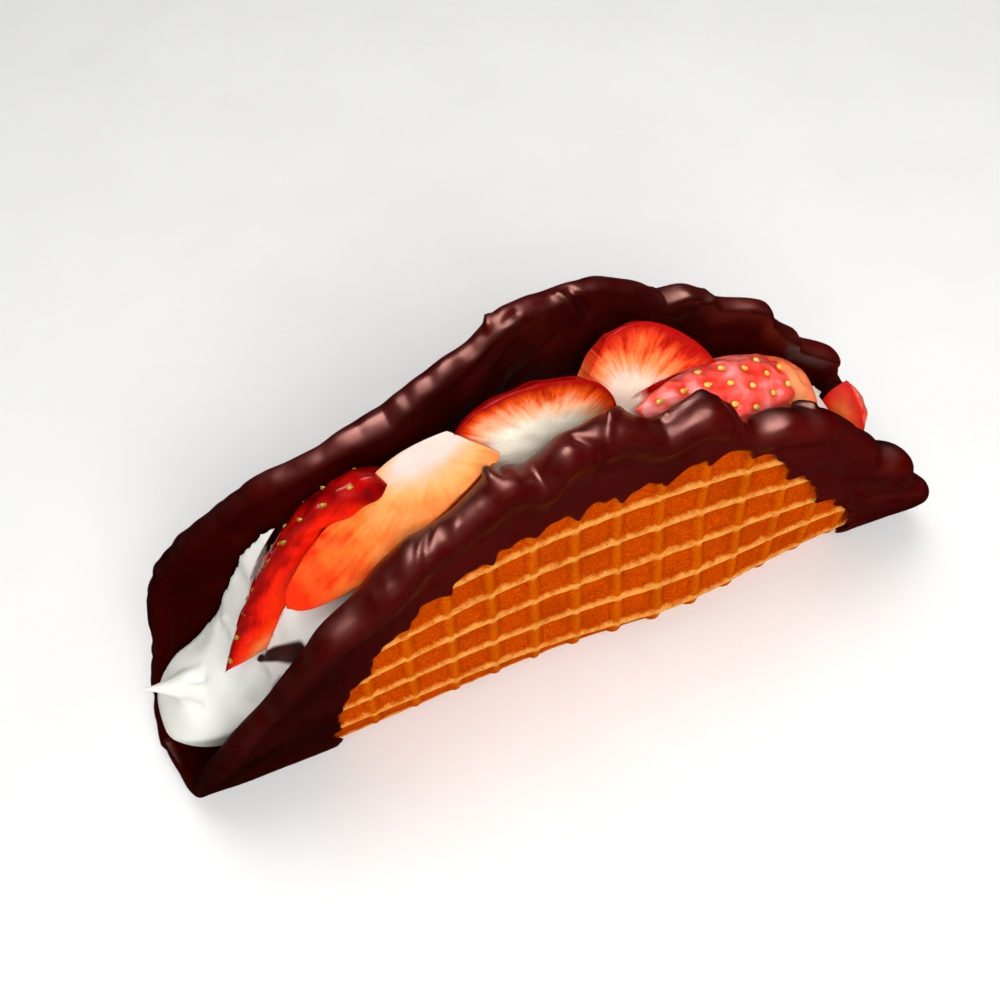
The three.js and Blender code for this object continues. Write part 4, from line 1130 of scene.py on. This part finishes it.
def join_meshes(piece, extra):
    """Add a second mesh, with its own material, to a piece."""
    shape = bmesh.new()
    shape.from_mesh(piece.data)
    offset = len(piece.data.materials)
    for material in extra.materials:
        piece.data.materials.append(material)
    before = len(shape.faces)
    shape.from_mesh(extra)
    shape.faces.ensure_lookup_table()
    for face in shape.faces[before:]:
        face.material_index += offset
        face.smooth = True
    shape.to_mesh(piece.data)
    shape.free()


seeds_tree = seed_tree()
husks = {
    "bright": seed_husk("strawberry_seed_husk", ((0.3, "#cf9a20"), (0.55, "#f4cf50"), (0.8, "#fbe89a"))),
    "dull": seed_husk("strawberry_seed_husk_dull", ((0.3, "#6e5210"), (0.55, "#a08420"), (0.8, "#d0b850")))}
room_mesh, *_ = coat_mesh("room_round_coat", 300, CLEAR + 0.1, 0.0, LINING_INNER + CLEAR)
cutters = [add_object("room_round_coat", room_mesh)]
for berry in BERRIES:
    husk = husks[berry.get("husk", "bright")]
    place(half_berry(berry, cutters, seeds_tree, husk), berry["node"], "strawberry")
    grow = CLEAR if berry["seeds"] is None or "slant" in berry else SEED_CLEAR
    room = "room_round_" + berry["node"]
    cutters.append(add_object(room, berry_solid(room, berry, grow, 30, 20, 6)))


# Cheesecake cream
# Whipped cream cheese piped along the fold and smoothed off, with the drawn-out peak that the nozzle
# left at the open end. Soft and matte with faint folds. Made as one long body and a peak that are
# remeshed together, smoothed, creased, and cut to the strawberries that press into it.
CREAM_CLEAR = LINING_INNER + 1.0
CREAM_LEFT = -68.8
CREAM_RIGHT = 60.0
LEFT_ROUNDING = 14.0
RIGHT_ROUNDING = 9.0
CROWN_OPEN = 3.4
CROWN_COVERED = -2.5
# Where the cream climbs the back wall at the open end, and how high
BANK_AT = -44.0
BANK_WIDTH = 8.5
BANK_HEIGHT = 6.2
FRONT_LOWER = 3.5
CREAM_STATIONS = 160
# Height of the cream at its left end, then each rise or fall: how much and from where to where
CREAM_START = 19.0
CREAM_SLOPES = ((24.0, -60.0, -36.0), (-6.5, 10.0, 46.0), (-8.0, 44.0, 62.0))
PEAK_ROOT = (-58.0, 0.0, 16.0)
PEAK_BEND = (-64.0, 0.5, 19.8)
PEAK_TIP = (-69.2, 1.2, 22.6)
PEAK_RADIUS = 4.8
PEAK_STEPS = 24
CREAM_VOXEL = 0.5
# Marks of the palette knife and nozzle: lines from one point to another, half width and height, in mm
CREAM_MARKS = (
    ((-66.0, 1.4, 19.6), (-63.0, 0.8, 19.4), 0.7, -0.5),
    ((-63.0, 0.8, 19.4), (-59.0, -0.3, 20.6), 0.7, -0.7),
    ((-63.0, 2.2, 19.0), (-59.0, 1.2, 20.6), 0.9, 0.4),
    ((-62.8, -1.8, 18.8), (-61.2, -3.4, 18.4), 0.7, -0.6),
    ((-63.2, -0.6, 18.8), (-60.6, -2.2, 18.8), 0.9, 0.3), ((-52.8, 6.6, 24.8), (-51.4, 5.0, 26.2), 0.8, 0.8),
    ((-51.4, 5.0, 26.2), (-51.2, 2.5, 25.8), 0.8, 0.8), ((-53.6, 5.0, 24.4), (-52.6, 2.6, 24.6), 0.9, -0.5),
    ((-43.2, 3.9, 39.2), (-48.4, 4.3, 30.2), 1.0, 0.6), ((-48.4, 4.3, 30.2), (-51.4, 5.0, 26.2), 1.0, 0.6),
    ((-50.0, -7.1, 24.9), (-53.2, -8.4, 21.0), 2.2, -1.6),
)
# Dark marks on the cream by the front lip: lines, half width in mm at either end and strength; the first two
# draw a dark lens along the lip, the last, fainter one is painted shade where the cream meets the lip
LIP_DARK_AND_SHADE = (
    ((-49.0, -4.4, 26.4), (-46.2, -6.9, 30.0), 0.7, 1.3, 1.0),
    ((-46.2, -6.9, 30.0), (-42.8, -11.0, 34.6), 1.3, 1.9, 1.0),
    ((-47.4, -11.0, 28.4), (-51.6, -10.4, 22.4), 2.2, 2.2, 0.66),
)


def cream_level(x):
    level = CREAM_START
    for rise, start, end in CREAM_SLOPES:
        level = level + rise * smoothstep(x, start, end)
    return level


def run_at_height(side, x, height):
    low = np.zeros_like(x)
    high = np.full_like(x, RIM_RADIUS)
    for _ in range(24):
        middle = (low + high) / 2
        below = fold_points(x, side * middle, CREAM_CLEAR)[..., 2] < height
        low = np.where(below, middle, low)
        high = np.where(below, high, middle)
    return low


def cream_body():
    turn = np.pi * (np.arange(CREAM_STATIONS) + 0.5) / CREAM_STATIONS
    x = lerp(CREAM_LEFT, CREAM_RIGHT, (1 - np.cos(turn)) / 2)
    level = cream_level(x)
    front = run_at_height(-1, x, level - FRONT_LOWER)
    back = run_at_height(1, x, level + BANK_HEIGHT * bell(x, BANK_WIDTH, BANK_AT))
    part = np.concatenate([np.linspace(1.0, 0.42, 16), np.linspace(0.4, 0.02, 18)])
    front_runs = -lerp(STRIP_HALF * 0.4, front[:, None], part[None, :])
    back_runs = lerp(STRIP_HALF * 0.4, back[:, None], part[None, ::-1])
    hull = fold_points(x[:, None], np.concatenate([front_runs, back_runs], axis=1), CREAM_CLEAR)
    hull = hull - PART_SHIFT
    first = hull[:, :1]
    last = hull[:, -1:]
    swell = lerp(CROWN_OPEN, CROWN_COVERED, smoothstep(x, -58, -46))[:, None]
    over = np.linspace(0.0, 1.0, 32)[1:-1][None, :, None]
    crown = last * (1 - over) + first * over
    crown[:, :, 2] += swell * np.sin(np.pi * over[:, :, 0])
    section = np.concatenate([hull, crown], axis=1)
    left = np.clip((CREAM_LEFT + LEFT_ROUNDING - x) / LEFT_ROUNDING, 0, 1)
    right = np.clip((x - CREAM_RIGHT + RIGHT_ROUNDING) / RIGHT_ROUNDING, 0, 1)
    size = np.sqrt(1 - np.maximum(left, right) ** 2)[:, None]
    middle = (level * 0.55)[:, None]
    section[:, :, 1] *= size
    section[:, :, 2] = middle + (section[:, :, 2] - middle) * size
    start = np.array([[CREAM_LEFT, 0.0, cream_level(CREAM_LEFT) * 0.55]])
    end = np.array([[CREAM_RIGHT, 0.0, cream_level(CREAM_RIGHT) * 0.55]])
    points = np.concatenate([start, section.reshape(-1, 3), end]) + PART_SHIFT
    return solid_mesh("cream_body", points, ring_faces(*section.shape[:2]))


def cream_peak():
    root, bend, tip = (np.array(point) for point in (PEAK_ROOT, PEAK_BEND, PEAK_TIP))
    t = np.linspace(0.03, 0.97, PEAK_STEPS)[:, None]
    centre = root * (1 - t) ** 2 + bend * 2 * t * (1 - t) + tip * t ** 2
    radius = PEAK_RADIUS * (1 - t) ** 1.5 + 0.5
    turn = -np.linspace(0.0, 2 * np.pi, PEAK_STEPS, endpoint=False)[None, :]
    ring = np.repeat(centre[:, None, :], PEAK_STEPS, axis=1)
    ring[:, :, 1] += radius * np.cos(turn)
    ring[:, :, 2] += radius * 0.8 * np.sin(turn)
    points = np.concatenate([root[None], ring.reshape(-1, 3), tip[None]]) + PART_SHIFT
    return solid_mesh("cream_peak", points, ring_faces(PEAK_STEPS, PEAK_STEPS))


def whipped_cream():
    """Whipped cream cheese: warm white, matte and faintly translucent, with tiny air bubbles."""
    material, tree, place_in = new_material("whipped_cheesecake_cream")
    # Drifts of tone 10 mm across and air bubbles of 0.4 mm
    drift = noise(tree, place_in, 10.0, 3.0)
    bubbles = noise(tree, place_in, 0.4, 2.0)
    tone = ramp(tree, drift, ((0.3, "#dad8ce"), (0.55, "#e2e1da"), (0.8, "#e8e7e2")))
    # A dark lens by the front lip, and painted shade where the cream meets it
    edge = calc(tree, "MULTIPLY_ADD", drift, 0.12, attribute(tree, "lip_dark_and_shade"))
    lip_dark_and_shade = remap(tree, edge, 0.48, 0.72, 0.0, 1.0, "SMOOTHSTEP")
    return finish_material(material, add_node(tree, "ShaderNodeBsdfPrincipled", {
        "Base Color": blend(tree, lip_dark_and_shade, tone, "#2c0a05"), "Normal": bumped(tree, bubbles, 0.08, 0.35),
        "Roughness": 0.5, "IOR": 1.4, "Subsurface Weight": 0.25,
        "Subsurface Radius": (0.0018, 0.0015, 0.0011), "Subsurface Scale": 1.0}))


def away_from_line(points, start, end):
    """Distance in mm of each point from a line given in the unshifted frame, and how far along it."""
    start = np.array(start) + PART_SHIFT
    way = np.array(end) + PART_SHIFT - start
    part = np.clip((points - start) @ way / way.dot(way), 0.0, 1.0)
    return np.linalg.norm(points - start - part[:, None] * way, axis=1), part


def cream_filling():
    shape = bmesh.new()
    shape.from_mesh(cream_body())
    shape.from_mesh(cream_peak())
    joined = bpy.data.meshes.new("cream_joined")
    shape.to_mesh(joined)
    shape.free()
    carrier = add_object("cream_joined", joined)
    remesh = carrier.modifiers.new("merge", "REMESH")
    remesh.mode = "VOXEL"
    remesh.voxel_size = CREAM_VOXEL * MM
    soften = carrier.modifiers.new("soften", "SMOOTH")
    soften.factor = 0.5
    soften.iterations = 10
    mesh = evaluated_mesh(carrier)
    mesh.materials.clear()
    mesh.materials.append(whipped_cream())
    points = read_points(mesh)
    folds = 0.18 * ripples(points[:, 0] + points[:, 2], points[:, 1] * 1.5, 9.0, 51)
    for start, end, width, height in CREAM_MARKS:
        folds = folds + height * bell(away_from_line(points, start, end)[0], width)
    set_points(mesh, points + read_normals(mesh) * (folds - 0.1)[:, None])
    piece = cut_away(add_object("cream_filling_whipped", mesh), cutters[1:])
    smooth_faces(piece.data)
    lip_dark_and_shade = np.zeros(len(piece.data.vertices))
    for start, end, first, last, strength in LIP_DARK_AND_SHADE:
        away, part = away_from_line(read_points(piece.data), start, end)
        lip_dark_and_shade = np.maximum(lip_dark_and_shade, strength * np.clip(1 - 0.5 * away / lerp(first, last, part), 0.0, 1.0))
    store(piece.data, "lip_dark_and_shade", lip_dark_and_shade)
    return piece


place(cream_filling(), "cream_filling", "cream")
for cutter in cutters:
    bpy.data.objects.remove(cutter)


# Floor, light and camera
# A plain pale floor, a soft box above and behind, another there that only shines in the gloss, one in
# front, a large faint one on the left, and the camera at the photograph's angle.
FLOOR_HALF = 1.5
LIGHT_TARGET = Vector((0.0, 0.0, 0.035))
CAMERA_TARGET = Vector((-5.741, 0.9517, 36.496)) * MM
CAMERA_DISTANCE = 179.632 * MM
CAMERA_ANGLES = (-17.328, 54.695, -7.142)
SENSOR_WIDTH = 36.0
FOCAL_PER_WIDTH = 1.144762


def pale_floor():
    material, tree, place_in = new_material("pale_matt_floor")
    tone = ramp(tree, noise(tree, place_in, 30.0, 3.0), ((0.3, "#f0efed"), (0.7, "#f4f3f1")))
    finish_material(material, add_node(tree, "ShaderNodeBsdfPrincipled", {
        "Base Color": tone, "Roughness": 0.8, "IOR": 1.45}))
    corners = [(x * FLOOR_HALF, y * FLOOR_HALF, 0.0) for x, y in ((-1, -1), (1, -1), (1, 1), (-1, 1))]
    mesh = bpy.data.meshes.new("floor")
    mesh.from_pydata(corners, [], [(0, 1, 2, 3)])
    mesh.materials.append(material)
    return add_object("floor", mesh)


def direction(azimuth, elevation):
    """The way from the taco towards a light or the camera; 0, 0 is straight in front of it."""
    level = math.cos(elevation)
    return Vector((math.sin(azimuth) * level, -math.cos(azimuth) * level, math.sin(elevation)))


def soft_box(name, azimuth, elevation, distance, size, power, mirrored):
    """An area light that looks at the middle of the taco and either lights it or only shines in it."""
    light = bpy.data.lights.new(name, "AREA")
    light.shape = "DISK"
    light.size = size
    light.energy = power
    lamp = bpy.data.objects.new(name, light)
    bpy.context.scene.collection.objects.link(lamp)
    way = direction(math.radians(azimuth), math.radians(elevation))
    lamp.location = LIGHT_TARGET + way * distance
    lamp.rotation_euler = way.to_track_quat("Z", "Y").to_euler()
    lamp.visible_glossy = mirrored
    lamp.visible_diffuse = not mirrored


def photo_camera():
    azimuth, elevation, roll = (math.radians(angle) for angle in CAMERA_ANGLES)
    back = direction(azimuth, elevation)
    level = Vector((math.cos(azimuth), math.sin(azimuth), 0.0))
    up = back.cross(level)
    right = level * math.cos(roll) + up * math.sin(roll)
    above = up * math.cos(roll) - level * math.sin(roll)
    camera = bpy.data.cameras.new("photo_camera")
    camera.sensor_width = SENSOR_WIDTH
    camera.lens = SENSOR_WIDTH * FOCAL_PER_WIDTH
    camera.clip_start = 0.01
    view = bpy.data.objects.new("photo_camera", camera)
    bpy.context.scene.collection.objects.link(view)
    turn = Matrix((right, above, back)).transposed().to_4x4()
    view.matrix_world = Matrix.Translation(CAMERA_TARGET + back * CAMERA_DISTANCE) @ turn
    bpy.context.scene.camera = view


floor = pale_floor()
floor.visible_glossy = False
soft_box("soft_box_overhead", 165.0, 78.0, 0.6, 0.4, 1.2, False)
soft_box("soft_box_shine", 186.0, 76.0, 0.6, 0.5, 5.6, True)
soft_box("soft_box_front", -6.0, 44.0, 0.7, 0.6, 5.4, False)
soft_box("soft_box_fill", -60.0, 75.0, 1.2, 1.4, 1.4, False)
world = bpy.data.worlds.new("studio")
world.use_nodes = True
backdrop = world.node_tree.nodes["Background"]
backdrop.inputs["Color"].default_value = linear("#f4f6f8")
backdrop.inputs["Strength"].default_value = 0.2
world.cycles_visibility.glossy = False
bpy.context.scene.world = world
bpy.context.scene.view_settings.view_transform = "Standard"
photo_camera()
